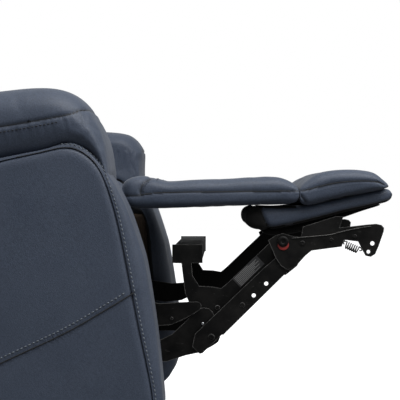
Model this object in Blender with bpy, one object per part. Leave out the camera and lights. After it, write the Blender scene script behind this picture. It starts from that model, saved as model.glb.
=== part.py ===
"""Lift recliner chair: base, lift linkage, chassis, reclining back and scissor footrest.

Metres, +Z up. The chair faces -Y and its left is +X. Most parts are flat in side view, so their
outlines are (u, z) pairs: u runs forward and z up, and world y = U_MID - u. Plates stand in lanes,
which are distances |x| from the middle plane, so that neighbouring links pass each other.
The chair rests with its footrest out and its back upright.
"""
import math

import bmesh
import bpy
from mathutils import Matrix, Vector

# Driving dimensions
U_MID = 0.156           # u of the middle of the whole chair
FLOOR_TO_RAIL = 0.012
RAIL_TOP = 0.040
GAP = 0.0003            # clearance between touching solids

ARM_INNER = 0.265
ARM_OUTER = 0.440
ARM_BOTTOM = 0.055
ARM_REAR = -0.360
SEAT_HALF = 0.2605
PAD_HALF = 0.259
SEAT_TOP = 0.515
CHASSIS_TOP = 0.4025

# Lanes, inner and outer |x|
UPPER_LINK_LANE = (0.184, 0.190)
CHASSIS_LANE = (0.196, 0.202)
BACK_EAR_LANE = (0.206, 0.214)
LIFT_LINK_LANE = (0.209, 0.215)
CARRIER_LANE = (0.2195, 0.2235)
DRIVE_LANE = (0.2245, 0.2295)
STRUT_LANE = (0.2305, 0.2345)
PARALLEL_LANE = (0.2355, 0.2395)
BRACKET_LANE = (0.2405, 0.2435)
BUSHING_LANE = (0.2439, 0.2459)
SPRING_X = 0.2510

# Pivots (u, z)
LIFT_PIVOT = (0.3150, 0.0640)
UPPER_LIFT_PIVOT = (0.2754, 0.0921)
CARRIAGE_PIVOT = (-0.1350, 0.0800)
UPPER_CARRIAGE_PIVOT = (-0.2888, 0.1373)
BACK_PIVOT = (-0.2050, 0.4000)
DRIVE_PIVOT = (0.3065, 0.2659)
STRUT_PIVOT = (0.2745, 0.2967)
KNEE = (0.4770, 0.2669)
STRUT_END = (0.4643, 0.2884)
PARALLEL_PIVOT = (0.4897, 0.2343)
OTTOMAN_PIVOT = (0.6157, 0.4026)
PARALLEL_END = (0.6288, 0.3718)
LIFT_LEVER = (0.2774, 0.1346)

# Tubes and pins
FRONT_TUBE = (0.2850, 0.3850)
REAR_TUBE = (-0.2350, 0.2150)
TUBE_RADIUS = 0.0125
DRIVE_TUBE_RADIUS = 0.0110
PIN_RADIUS = 0.0050
LIFT_PIN_RADIUS = 0.0060
PIN_CLEARANCE = 0.0005
OPEN_CLEARANCE = 0.0012  # round the pins where a closed linkage is opened

# Actuators: x, motor pivot (u, z), rod end (u, z)
LIFT_ACTUATOR = (0.0, (-0.3200, 0.0850), LIFT_LEVER)
FOOTREST_LEVER_LENGTH = 0.040
FOOTREST_LEVER_ANGLE = math.radians(140)
FOOTREST_ROD_END = (
    DRIVE_PIVOT[0] + FOOTREST_LEVER_LENGTH * math.cos(FOOTREST_LEVER_ANGLE),
    DRIVE_PIVOT[1] + FOOTREST_LEVER_LENGTH * math.sin(FOOTREST_LEVER_ANGLE),
)
FOOTREST_ACTUATOR = (-0.060, (-0.1900, 0.2350), FOOTREST_ROD_END)
BACK_ROD_END = (-0.2425, 0.3070)
BACK_ACTUATOR = (0.060, (0.2620, 0.3520), BACK_ROD_END)
LEVER_HALF = 0.003

# The back is laid out along its own lean: s up along the posts, n forward from them
BACK_BASE = (-0.2850, 0.3600)
BACK_LEAN = math.radians(14)
BACK_HALF = 0.250
SHOULDER_HALF = 0.295

# Control panel on the inner face of the right arm
PANEL_U = (0.170, 0.260)
PANEL_Z = (0.518, 0.542)
BUTTON_COUNT = 4
BUTTON_RADIUS = 0.007

MATERIALS = {
    "leather": ((0.058, 0.075, 0.103, 1.0), 0.45, 0.0),
    "black_metal": ((0.012, 0.012, 0.013, 1.0), 0.42, 0.6),
    "bright_steel": ((0.560, 0.570, 0.580, 1.0), 0.30, 1.0),
    "black_plastic": ((0.018, 0.018, 0.020, 1.0), 0.55, 0.0),
    "grey_plastic": ((0.200, 0.210, 0.220, 1.0), 0.50, 0.0),
    "black_fabric": ((0.015, 0.015, 0.016, 1.0), 0.90, 0.0),
    "rubber": ((0.020, 0.020, 0.020, 1.0), 0.85, 0.0),
    "red_plastic": ((0.430, 0.045, 0.035, 1.0), 0.45, 0.0),
}
SIDES = (("left", 1), ("right", -1))


def clear_scene():
    for item in list(bpy.data.objects):
        bpy.data.objects.remove(item, do_unlink=True)


def material_for(node, kind):
    """A Principled material of the node's own."""
    colour, roughness, metallic = MATERIALS[kind]
    material = bpy.data.materials.new(f"{node}_{kind}")
    material.use_nodes = True
    shader = material.node_tree.nodes["Principled BSDF"]
    shader.inputs["Base Color"].default_value = colour
    shader.inputs["Roughness"].default_value = roughness
    shader.inputs["Metallic"].default_value = metallic
    return material


def place(u, z, x=0.0):
    return Vector((x, U_MID - u, z))


def new_object(name, bm, kind):
    bmesh.ops.recalc_face_normals(bm, faces=bm.faces)
    mesh = bpy.data.meshes.new(name)
    bm.to_mesh(mesh)
    bm.free()
    item = bpy.data.objects.new(name, mesh)
    bpy.context.scene.collection.objects.link(item)
    mesh.materials.append(material_for(name, kind))
    return item


# Outlines

def arc(centre, radius, start, end, steps):
    """Points on an arc, angles in degrees."""
    points = []
    for i in range(steps + 1):
        angle = math.radians(start + (end - start) * i / steps)
        points.append((centre[0] + radius * math.cos(angle), centre[1] + radius * math.sin(angle)))
    return points


def circle(centre, radius, count=16):
    return arc(centre, radius, 0, 360 - 360 / count, count - 1)


def link_outline(p, q, rp, rq, steps=6):
    """The outline of a bar with round ends about p and q."""
    angle = math.degrees(math.atan2(q[1] - p[1], q[0] - p[0]))
    spread = math.degrees(math.asin((rp - rq) / math.dist(p, q)))
    far = arc(q, rq, angle - 90 + spread, angle + 90 - spread, steps)
    near = arc(p, rp, angle + 90 - spread, angle + 270 + spread, steps)
    return far + near


def rounded(points, radius, steps=2):
    """The same polygon with its corners rounded."""
    result = []
    count = len(points)
    for i, point in enumerate(points):
        here = Vector(point)
        before = Vector(points[i - 1]) - here
        after = Vector(points[(i + 1) % count]) - here
        reach = min(radius, 0.45 * before.length, 0.45 * after.length)
        start = here + before.normalized() * reach
        end = here + after.normalized() * reach
        for k in range(steps + 1):
            t = k / steps
            curve = (1 - t) ** 2 * start + 2 * t * (1 - t) * here + t ** 2 * end
            result.append((curve.x, curve.y))
    return result


def back_point(s, n):
    """(u, z) of a point s up along the back's posts and n in front of them."""
    sine, cosine = math.sin(BACK_LEAN), math.cos(BACK_LEAN)
    return (BACK_BASE[0] - s * sine + n * cosine, BACK_BASE[1] + s * cosine + n * sine)


# Solids

def prism(name, outline, x0, x1, kind, holes=()):
    """An outline in side view, with holes, extruded from x0 to x1."""
    bm = bmesh.new()
    edges = []
    for loop in (outline, *holes):
        verts = [bm.verts.new(place(u, z, x0)) for u, z in loop]
        for i, vert in enumerate(verts):
            edges.append(bm.edges.new((vert, verts[(i + 1) % len(verts)])))
    if holes:
        filled = bmesh.ops.triangle_fill(bm, edges=edges, use_beauty=True)["geom"]
        faces = [item for item in filled if isinstance(item, bmesh.types.BMFace)]
    else:
        faces = [bm.faces.new(list(bm.verts))]
    swept = bmesh.ops.extrude_face_region(bm, geom=faces)["geom"]
    moved = [item for item in swept if isinstance(item, bmesh.types.BMVert)]
    bmesh.ops.translate(bm, verts=moved, vec=(x1 - x0, 0, 0))
    return new_object(name, bm, kind)


def lane_prism(name, outline, lane, sign, kind, holes=()):
    inner, outer = lane
    return prism(name, outline, sign * inner, sign * outer, kind, holes)


def box(name, us, zs, xs, kind):
    outline = [(us[0], zs[0]), (us[1], zs[0]), (us[1], zs[1]), (us[0], zs[1])]
    return prism(name, outline, xs[0], xs[1], kind)


def bar_across(name, centre, radius, x0, x1, kind, sides=16):
    return prism(name, circle(centre, radius, sides), x0, x1, kind)


def pin(centre, radius, x0, x1, sides=12):
    return bar_across("pin", centre, radius, x0, x1, "black_metal", sides)


def side_pin(centre, radius, start, end, sign):
    return pin(centre, radius, sign * start, sign * end)


def round_rod(name, frame, start, end, radius, kind, offset=0.0, sides=16):
    """A rod along an actuator's line, from start to end metres from its motor pivot."""
    x, foot, tip = frame
    along = place(*tip, x) - place(*foot, x)
    along.normalize()
    normal = Vector((1, 0, 0)).cross(along)
    middle = place(*foot, x) + along * (start + end) / 2 - normal * offset
    turn = along.to_track_quat("Z", "X").to_matrix().to_4x4()
    bm = bmesh.new()
    bmesh.ops.create_cone(
        bm, cap_ends=True, segments=sides, radius1=radius, radius2=radius,
        depth=end - start, matrix=Matrix.Translation(middle) @ turn,
    )
    return new_object(name, bm, kind)


def rod_block(name, frame, start, end, half_width, half_height, kind, x_offset=0.0, rise=0.0):
    """A block along an actuator's line."""
    x, foot, tip = frame
    length = math.dist(foot, tip)
    du, dz = (tip[0] - foot[0]) / length, (tip[1] - foot[1]) / length
    corners = []
    for along, across in ((start, -1), (end, -1), (end, 1), (start, 1)):
        lift = rise + across * half_height
        corners.append((foot[0] + du * along - dz * lift, foot[1] + dz * along + du * lift))
    centre = x + x_offset
    return prism(name, corners, centre - half_width, centre + half_width, kind)


def boolean(target, tools, operation):
    """Join or cut the tools, then remove them."""
    for tool in tools:
        modifier = target.modifiers.new(operation.title(), "BOOLEAN")
        modifier.operation = operation
        modifier.solver = "EXACT"
        modifier.object = tool
        bpy.context.view_layer.objects.active = target
        bpy.ops.object.modifier_apply(modifier=modifier.name)
        bpy.data.objects.remove(tool, do_unlink=True)
    while len(target.data.materials) > 1:
        target.data.materials.pop()
    return target


def join(target, *tools):
    return boolean(target, tools, "UNION")


def cut(target, *tools):
    return boolean(target, tools, "DIFFERENCE")


def soften(item, width, segments=2):
    bevel = item.modifiers.new("Bevel", "BEVEL")
    bevel.width = width
    bevel.segments = segments
    bevel.limit_method = "ANGLE"
    bevel.angle_limit = math.radians(50)
    return item


def smooth(item, angle=35):
    item.data.shade_smooth()
    item.data.set_sharp_from_angle(angle=math.radians(angle))
    return item


def pivot_at(item, u, z, x=0.0):
    """Move the origin to a joint's axis and leave the shape where it is."""
    origin = place(u, z, x)
    item.data.transform(Matrix.Translation(-origin))
    item.location = origin
    return item


# Base

def build_base():
    for side, sign in SIDES:
        lane = (sign * 0.186, sign * 0.214)
        rail_z = (FLOOR_TO_RAIL, RAIL_TOP)
        rail = box(f"base_side_rail_{side}", (-0.405, 0.345), rail_z, lane, "black_metal")
        soften(rail, 0.003, 1)
        for place_name, u in (("front", 0.300), ("rear", -0.370)):
            base_foot(f"base_foot_{place_name}_{side}", u, sign * 0.200)
        base_upright(side, sign)
    across = (-0.186 + GAP, 0.186 - GAP)
    front = box("base_front_tube", (0.300, 0.330), (FLOOR_TO_RAIL, RAIL_TOP), across, "black_metal")
    soften(front, 0.003, 1)
    rear = box("base_rear_tube", (-0.400, -0.366), (FLOOR_TO_RAIL, RAIL_TOP), across, "black_metal")
    join(rear, *clevis(LIFT_ACTUATOR, (-0.383, 0.030), 0.008))
    pivot_at(rear, -0.383, 0.026)
    power_supply_box()


def base_foot(name, u, x):
    bm = bmesh.new()
    height = FLOOR_TO_RAIL - GAP
    at = Matrix.Translation(place(u, height / 2, x))
    bmesh.ops.create_cone(
        bm, cap_ends=True, segments=16, radius1=0.015, radius2=0.012, depth=height, matrix=at,
    )
    smooth(new_object(name, bm, "rubber"))


def base_upright(side, sign):
    foot = RAIL_TOP + GAP
    outline = [(0.250, foot), (0.345, foot), (0.334, 0.070), (0.322, 0.081), (0.302, 0.085)]
    outline += arc(UPPER_LIFT_PIVOT, 0.015, 20, 170, 5)
    upright = lane_prism(f"base_upright_{side}", outline, CHASSIS_LANE, sign, "black_metal")
    outward = side_pin(LIFT_PIVOT, LIFT_PIN_RADIUS, 0.200, 0.2160, sign)
    inward = side_pin(UPPER_LIFT_PIVOT, LIFT_PIN_RADIUS, 0.183, 0.198, sign)
    join(upright, outward, inward)


def power_supply_box():
    rear, front = -0.3655, -0.285
    low = RAIL_TOP + GAP - 0.028
    supply = box("power_supply_box", (rear, front), (low, 0.082), (0.075, 0.165), "black_plastic")
    inlet_u = (rear - 0.010, rear + 0.014)
    inlet = box("inlet", inlet_u, (0.050, 0.070), (0.105, 0.135), "black_plastic")
    cut(supply, inlet)


def clevis(actuator, root, root_radius):
    """Two cheeks and the pin between them, to carry a motor's eye."""
    x, foot, _ = actuator
    pieces = []
    outline = link_outline(root, foot, root_radius, 0.011)
    for sign in (-1, 1):
        pieces.append(prism("cheek", outline, x + sign * 0.0085, x + sign * 0.0125, "black_metal"))
    pieces.append(pin(foot, PIN_RADIUS, x - 0.0140, x + 0.0140))
    return pieces


# Lift linkage

def build_lift():
    for side, sign in SIDES:
        lift_link(side, sign)
        upper_link(side, sign)
    reach = LIFT_LINK_LANE[0] - GAP
    tube = bar_across("lift_cross_tube", LIFT_LEVER, TUBE_RADIUS, -reach, reach, "black_metal")
    pivot_at(smooth(tube), *LIFT_PIVOT)


def lift_link(side, sign):
    outline = arc(LIFT_PIVOT, 0.014, -90, 20, 4) + arc(LIFT_LEVER, 0.016, 20, 160, 5)
    outline += [(0.246, 0.094), (0.225, 0.088)]
    outline += arc(CARRIAGE_PIVOT, 0.014, 90, 270, 6)
    holes = [circle(CARRIAGE_PIVOT, LIFT_PIN_RADIUS + PIN_CLEARANCE, 12)]
    holes.append(circle(LIFT_PIVOT, LIFT_PIN_RADIUS + PIN_CLEARANCE, 12))
    link = lane_prism(f"lift_link_{side}", outline, LIFT_LINK_LANE, sign, "black_metal", holes)
    pivot_at(link, *LIFT_PIVOT)


def upper_link(side, sign):
    outline = link_outline(UPPER_CARRIAGE_PIVOT, UPPER_LIFT_PIVOT, 0.012, 0.012)
    holes = [circle(UPPER_LIFT_PIVOT, LIFT_PIN_RADIUS + PIN_CLEARANCE, 12)]
    holes.append(circle(UPPER_CARRIAGE_PIVOT, LIFT_PIN_RADIUS + OPEN_CLEARANCE, 12))
    link = lane_prism(f"lift_upper_link_{side}", outline, UPPER_LINK_LANE, sign, "black_metal", holes)
    pivot_at(link, *UPPER_LIFT_PIVOT)


# Chassis and seat

def build_chassis():
    for side, sign in SIDES:
        chassis_plate(side, sign)
    reach = ARM_INNER - GAP
    front = bar_across("chassis_front_tube", FRONT_TUBE, TUBE_RADIUS, -reach, reach, "black_metal")
    join(front, *clevis(BACK_ACTUATOR, FRONT_TUBE, 0.011))
    rear = bar_across("chassis_rear_tube", REAR_TUBE, TUBE_RADIUS, -reach, reach, "black_metal")
    join(rear, *clevis(FOOTREST_ACTUATOR, REAR_TUBE, 0.011))
    for tube in (front, rear):
        smooth(tube)
    deck_z = (CHASSIS_TOP + GAP, CHASSIS_TOP + 0.0115)
    box("spring_deck", (-0.150, 0.315), deck_z, (-0.258, 0.258), "black_fabric")
    low = deck_z[1] + GAP
    outline = [(-0.168, low), (0.330, low), (0.330, SEAT_TOP - 0.004), (0.270, SEAT_TOP), (0.050, SEAT_TOP),
               (-0.100, SEAT_TOP - 0.008), (-0.168, SEAT_TOP - 0.010)]
    seat = prism("seat_cushion", outline, -SEAT_HALF, SEAT_HALF, "leather")
    soften(seat, 0.012)


def chassis_plate(side, sign):
    outline = arc(UPPER_CARRIAGE_PIVOT, 0.022, 130, 250, 4) + arc(CARRIAGE_PIVOT, 0.022, 250, 345, 4)
    outline += [(-0.060, 0.130), (0.080, 0.195), (0.200, 0.218), (0.250, 0.232)]
    outline += arc(DRIVE_PIVOT, 0.0185, 240, 380, 5)
    outline += [(0.323, 0.340), (0.316, CHASSIS_TOP), (-0.175, CHASSIS_TOP)]
    outline += arc(BACK_PIVOT, 0.018, 80, 200, 4) + [(-0.262, 0.240)]
    holes = [
        circle(DRIVE_PIVOT, DRIVE_TUBE_RADIUS + PIN_CLEARANCE),
        circle(STRUT_PIVOT, PIN_RADIUS + PIN_CLEARANCE, 12),
        circle(BACK_PIVOT, LIFT_PIN_RADIUS + PIN_CLEARANCE, 12),
        circle(FRONT_TUBE, TUBE_RADIUS + GAP),
        circle(REAR_TUBE, TUBE_RADIUS + GAP),
    ]
    plate = lane_prism(f"chassis_side_plate_{side}", outline, CHASSIS_LANE, sign, "black_metal", holes)
    outward = side_pin(CARRIAGE_PIVOT, LIFT_PIN_RADIUS, 0.200, 0.2160, sign)
    inward = side_pin(UPPER_CARRIAGE_PIVOT, LIFT_PIN_RADIUS, 0.183, 0.198, sign)
    join(plate, outward, inward)


# Arms

def arm_pad_underside(offset):
    """The line between an arm and its pad, from the rear to the front."""
    line = [(-0.330, 0.460), (-0.100, 0.492), (0.060, 0.523), (0.158, 0.5435), (0.222, 0.556),
            (0.255, 0.5655), (0.274, 0.5665), (0.293, 0.5575), (0.308, 0.543), (0.322, 0.527),
            (0.3345, 0.509)]
    return [(u, z + offset) for u, z in line]


def build_arms():
    body = [(0.342, 0.494), (0.359, 0.460), (0.379, 0.400), (0.3895, 0.360), (0.4040, 0.253),
            (0.414, 0.140), (0.414, 0.118), (0.406, 0.076), (0.385, ARM_BOTTOM),
            (ARM_REAR + 0.020, ARM_BOTTOM), (ARM_REAR, ARM_BOTTOM + 0.020), (ARM_REAR, 0.430),
            (ARM_REAR + 0.012, 0.452)]
    top = [(0.3355, 0.5200), (0.3315, 0.5515), (0.3225, 0.580), (0.3055, 0.608), (0.288, 0.632),
           (0.270, 0.646), (0.250, 0.655), (0.220, 0.6585), (0.150, 0.6525), (-0.100, 0.629),
           (-0.300, 0.606), (-0.335, 0.590), (-0.350, 0.560), (-0.350, 0.490)]
    for side, sign in SIDES:
        arm = prism(
            f"arm_body_{side}", body + arm_pad_underside(-0.0004), sign * ARM_INNER,
            sign * ARM_OUTER, "leather",
        )
        soften(arm, 0.010)
        pad = prism(
            f"arm_pad_{side}", top + arm_pad_underside(0.0004), sign * 0.262, sign * 0.445, "leather",
        )
        soften(pad, 0.016)


def build_controls():
    back_x = -ARM_INNER + GAP
    front_x = -0.2607
    middle_z = sum(PANEL_Z) / 2
    step = (PANEL_U[1] - PANEL_U[0]) / BUTTON_COUNT
    centres = [(PANEL_U[0] + step * (i + 0.5), middle_z) for i in range(BUTTON_COUNT)]
    corners = [
        (PANEL_U[0], PANEL_Z[0]), (PANEL_U[1], PANEL_Z[0]), (PANEL_U[1], PANEL_Z[1]),
        (PANEL_U[0], PANEL_Z[1]),
    ]
    holes = [circle(centre, BUTTON_RADIUS + PIN_CLEARANCE, 12) for centre in centres]
    prism("control_panel", rounded(corners, 0.006), back_x, front_x, "grey_plastic", holes)
    for number, centre in enumerate(centres, 1):
        name = f"control_button_{number}"
        button = bar_across(name, centre, BUTTON_RADIUS, -0.2622, -0.2585, "black_plastic", 12)
        pivot_at(smooth(button), *centre, -0.2622)


# Back

def back_strip(s0, s1, n0, n1):
    return [back_point(s0, n0), back_point(s0, n1), back_point(s1, n1), back_point(s1, n0)]


def build_back():
    frame = back_frame()
    shell = prism("back_shell", back_strip(0.050, 0.700, -0.045, -0.0125), -BACK_HALF, BACK_HALF, "leather")
    shoulders = back_strip(0.400, 0.704, -0.0452, -0.0123)
    wide = prism("wide", shoulders, -SHOULDER_HALF, SHOULDER_HALF, "leather")
    join(shell, wide)
    lumbar = [back_point(0.060, 0.022), back_point(0.075, 0.095), back_point(0.200, 0.125),
              back_point(0.340, 0.108), back_point(0.362, 0.085), back_point(0.362, 0.022)]
    lower = soften(prism("back_lumbar_cushion", lumbar, -BACK_HALF, BACK_HALF, "leather"), 0.014)
    head = [back_point(0.364, 0.022), back_point(0.368, 0.085), back_point(0.400, 0.112),
            back_point(0.560, 0.128), back_point(0.680, 0.100), back_point(0.722, 0.055),
            back_point(0.722, 0.022)]
    upper = soften(prism("back_head_cushion", head, -SHOULDER_HALF, SHOULDER_HALF, "leather"), 0.014)
    for item in (frame, shell, lower, upper):
        pivot_at(item, *BACK_PIVOT)


def back_frame():
    lower_rail, upper_rail = back_point(0.100, 0), back_point(0.650, 0)
    reach = 0.220
    frame = bar_across("back_frame", lower_rail, 0.0105, -reach, reach, "black_metal", 12)
    pieces = [bar_across("rail", upper_rail, 0.0105, -reach, reach, "black_metal", 12)]
    ear = link_outline(BACK_PIVOT, back_point(0.060, 0), 0.016, 0.0125)
    for _, sign in SIDES:
        post = back_strip(0.045, 0.690, -0.012, 0.012)
        pieces.append(lane_prism("post", post, (0.2062, 0.230), sign, "black_metal"))
        pieces.append(lane_prism("ear", ear, (0.2058, 0.2142), sign, "black_metal"))
        pieces.append(side_pin(BACK_PIVOT, LIFT_PIN_RADIUS, 0.195, 0.208, sign))
    x = BACK_ACTUATOR[0]
    lever = link_outline(lower_rail, BACK_ROD_END, 0.0095, 0.0100)
    pieces.append(prism("lever", lever, x - LEVER_HALF, x + LEVER_HALF, "black_metal"))
    return join(frame, *pieces)


# Footrest linkage

def build_footrest():
    for side, sign in SIDES:
        drive_link(side, sign)
        carrier_link(side, sign)
        strut_link(side, sign)
        parallel_link(side, sign)
        ottoman_bracket(side, sign)
    drive_tube()
    beam = [(0.4213, 0.3640), (0.4727, 0.3640), (0.4727, 0.3958), (0.4213, 0.3958)]
    reach = CARRIER_LANE[0] - GAP
    cross = prism("footrest_cross_beam", rounded(beam, 0.003, 1), -reach, reach, "black_metal")
    pivot_at(cross, *KNEE)
    build_pads()


def drive_tube():
    reach = DRIVE_LANE[0] - GAP
    tube = bar_across("footrest_drive_tube", DRIVE_PIVOT, DRIVE_TUBE_RADIUS, -reach, reach, "black_metal")
    x = FOOTREST_ACTUATOR[0]
    lever = link_outline(DRIVE_PIVOT, FOOTREST_ROD_END, 0.0155, 0.0100)
    join(tube, prism("lever", lever, x - LEVER_HALF, x + LEVER_HALF, "black_metal"))
    pivot_at(smooth(tube), *DRIVE_PIVOT)


def drive_link(side, sign):
    """The lower link, a boomerang from the drive tube to the knee."""
    outline = arc(DRIVE_PIVOT, 0.018, 60, 235, 6)
    outline += [(0.345, 0.206), (0.372, 0.190), (0.410, 0.190), (0.445, 0.201), (0.469, 0.206)]
    outline += [(0.488, 0.2155)]
    outline += arc(PARALLEL_PIVOT, 0.0155, -70, 60, 4) + arc(KNEE, 0.0185, 10, 120, 4)
    outline += [(0.445, 0.262), (0.420, 0.238), (0.394, 0.226), (0.365, 0.240)]
    link = lane_prism(f"drive_link_{side}", outline, DRIVE_LANE, sign, "black_metal")
    inward = side_pin(KNEE, PIN_RADIUS, 0.2185, 0.2260, sign)
    outward = side_pin(PARALLEL_PIVOT, PIN_RADIUS, 0.2280, 0.2403, sign)
    join(link, inward, outward)
    pivot_at(link, *DRIVE_PIVOT)


def carrier_link(side, sign):
    """The upper link from the knee to the ottoman, with the strap that holds the cross beam."""
    outline = arc(KNEE, 0.0145, 170, 315, 5) + arc(OTTOMAN_PIVOT, 0.0135, -45, 135, 6)
    outline += [(0.5190, 0.3290), (0.5070, 0.3190), (0.4900, 0.3220), (0.4680, 0.3230),
                (0.4560, 0.3420), (0.4545, 0.3640), (0.4740, 0.3640), (0.4740, 0.3970),
                (0.4200, 0.3970), (0.4200, 0.3640), (0.4365, 0.3635), (0.4430, 0.3100),
                (0.4520, 0.2900)]
    holes = [circle(KNEE, PIN_RADIUS + PIN_CLEARANCE, 12)]
    link = lane_prism(f"carrier_link_{side}", outline, CARRIER_LANE, sign, "black_metal", holes)
    join(link, side_pin(OTTOMAN_PIVOT, PIN_RADIUS, 0.2215, 0.2470, sign))
    pivot_at(link, *KNEE)


def strut_link(side, sign):
    """The steering strut between the chassis and the carrier link. Its carrier end is open."""
    outline = arc(STRUT_PIVOT, 0.016, 80, 250, 5)
    outline += [(0.345, 0.2590), (0.385, 0.2527), (0.420, 0.2560), (0.448, 0.2690)]
    outline += arc(STRUT_END, 0.0080, -60, 90, 4)
    outline += [(0.430, 0.2950), (0.400, 0.2930)]
    strut = lane_prism(f"strut_link_{side}", outline, STRUT_LANE, sign, "black_metal")
    join(strut, side_pin(STRUT_PIVOT, PIN_RADIUS, 0.1950, 0.2320, sign))
    pivot_at(strut, *STRUT_PIVOT)


def parallel_link(side, sign):
    """The wide outer link that keeps the ottoman's angle."""
    outline = [(0.4690, 0.2050), (0.4740, 0.2060), (0.5080, 0.2385), (0.5110, 0.2385),
               (0.6180, 0.3440), (0.6210, 0.3440)]
    outline += arc(PARALLEL_END, 0.0170, -45, 100, 4)
    outline += [(0.6060, 0.3760), (0.5820, 0.3560), (0.4610, 0.2400), (0.4560, 0.2180)]
    holes = [
        circle(PARALLEL_PIVOT, PIN_RADIUS + PIN_CLEARANCE, 12),
        circle(PARALLEL_END, PIN_RADIUS + OPEN_CLEARANCE, 12),
        circle((0.5865, 0.3286), 0.0038, 10),
        circle((0.5645, 0.3078), 0.0038, 10),
    ]
    link = lane_prism(f"parallel_link_{side}", outline, PARALLEL_LANE, sign, "black_metal", holes)
    pivot_at(link, *PARALLEL_PIVOT)


def ottoman_bracket(side, sign):
    outline = [(0.5900, 0.4050), (0.6020, 0.4135), (0.6157, 0.4175), (0.6340, 0.4120), (0.6480, 0.4110),
               (0.6510, 0.4290), (0.7075, 0.4470), (0.7220, 0.4470), (0.7150, 0.4270), (0.7400, 0.4300),
               (0.7644, 0.4328), (0.7800, 0.4340), (0.7890, 0.4320), (0.7936, 0.4270), (0.7926, 0.4195),
               (0.7840, 0.3950), (0.7780, 0.3810), (0.7700, 0.3760), (0.7610, 0.3780), (0.7565, 0.3860),
               (0.7480, 0.4030), (0.7230, 0.4060), (0.7190, 0.3940), (0.6660, 0.3870), (0.6550, 0.3780),
               (0.6380, 0.3590), (0.6240, 0.3530), (0.6130, 0.3600), (0.6030, 0.3740)]
    holes = [
        circle(OTTOMAN_PIVOT, PIN_RADIUS + PIN_CLEARANCE, 12),
        circle((0.7730, 0.3997), 0.0040, 10),
        circle((0.7660, 0.3850), 0.0034, 10),
    ]
    bracket = lane_prism(f"ottoman_bracket_{side}", outline, BRACKET_LANE, sign, "black_metal", holes)
    join(bracket, side_pin(PARALLEL_END, PIN_RADIUS, 0.2348, 0.2420, sign))
    ring = lane_prism(
        f"pivot_bushing_{side}", circle(OTTOMAN_PIVOT, 0.0100), BUSHING_LANE, sign, "red_plastic",
        [circle(OTTOMAN_PIVOT, PIN_RADIUS + PIN_CLEARANCE, 12)],
    )
    line = (sign * SPRING_X, (0.7230, 0.3980), (0.7500, 0.3890))
    spring = round_rod(f"ottoman_spring_{side}", line, 0.0, 0.0280, 0.0065, "bright_steel", sides=12)
    for item in (bracket, smooth(ring), smooth(spring)):
        pivot_at(item, *OTTOMAN_PIVOT)


def build_pads():
    board = arc((0.5640, 0.4460), 0.0175, 230, 90, 5)
    board += [(0.6000, 0.4668), (0.6550, 0.4680), (0.7300, 0.4857), (0.7950, 0.4990), (0.8045, 0.4960),
              (0.8074, 0.4865), (0.7963, 0.4700), (0.7115, 0.4520), (0.6550, 0.4340), (0.5920, 0.4235)]
    item = prism("ottoman_board", board, -0.2385, 0.2385, "leather")
    pivot_at(soften(item, 0.006), *OTTOMAN_PIVOT)
    pad = [(0.6450, 0.4980), (0.6550, 0.5085), (0.6737, 0.5205), (0.6925, 0.5264), (0.7333, 0.5295),
           (0.7644, 0.5245), (0.7834, 0.5140), (0.7985, 0.5018), (0.7950, 0.5003), (0.7300, 0.4868),
           (0.6550, 0.4692), (0.6465, 0.4745)]
    item = prism("ottoman_pad", pad, -PAD_HALF, PAD_HALF, "leather")
    pivot_at(soften(item, 0.010), *OTTOMAN_PIVOT)
    chaise = [(0.3360, 0.4720), (0.3450, 0.4630), (0.3830, 0.4620), (0.5550, 0.4665), (0.5750, 0.4690),
              (0.6400, 0.4705), (0.6425, 0.4800), (0.6425, 0.4970), (0.6305, 0.5080), (0.6010, 0.5165),
              (0.5490, 0.5160), (0.4230, 0.5095), (0.3950, 0.5130), (0.3670, 0.5180), (0.3450, 0.5130),
              (0.3370, 0.5000)]
    item = prism("chaise_pad", chaise, -PAD_HALF, PAD_HALF, "leather")
    pivot_at(soften(item, 0.008), 0.335, 0.487)


# Actuators

def motor_housing(name, actuator, length, bore_start, motor_side):
    """Eye, gearbox, motor can and outer tube, with the bore that the rod slides in."""
    x, foot, _ = actuator
    eye = bar_across(name, foot, 0.0120, x - 0.0075, x + 0.0075, "black_plastic", 12)
    neck = rod_block("neck", actuator, 0.0080, 0.0400, 0.0070, 0.0090, "black_plastic")
    gearbox = rod_block("gearbox", actuator, 0.0320, 0.0800, 0.0200, 0.0225, "black_plastic")
    can_offset = motor_side * 0.0400
    rise = can_offset * 0.7
    link = rod_block("link", actuator, 0.0400, 0.0760, 0.0160, 0.0180, "black_plastic", rise=rise)
    can = round_rod("can", actuator, 0.0360, 0.1400, 0.0190, "black_plastic", offset=can_offset)
    tube = round_rod("tube", actuator, 0.0700, length, 0.0160, "black_plastic")
    housing = join(eye, neck, gearbox, link, can, tube)
    bore = round_rod("bore", actuator, bore_start, length + 0.020, 0.0106, "black_plastic")
    eye_hole = pin(foot, PIN_RADIUS + PIN_CLEARANCE, x - 0.020, x + 0.020)
    cut(housing, bore, eye_hole)
    return pivot_at(smooth(housing), *foot, x)


def forked_rod(name, actuator, start):
    """The rod and its fork, which straddles a lever. The fork's pin is left out."""
    length = math.dist(actuator[1], actuator[2])
    rod = round_rod(name, actuator, start, length - 0.040, 0.0100, "bright_steel")
    pieces = [rod_block("crown", actuator, length - 0.055, length - 0.036, 0.0095, 0.0110, "bright_steel")]
    for sign in (-1, 1):
        cheek = rod_block(
            "cheek", actuator, length - 0.044, length + 0.013, 0.0023, 0.0106, "bright_steel",
            x_offset=sign * 0.0069,
        )
        pieces.append(cheek)
    join(rod, *pieces)
    return pivot_at(smooth(rod), *actuator[1], actuator[0])


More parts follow.
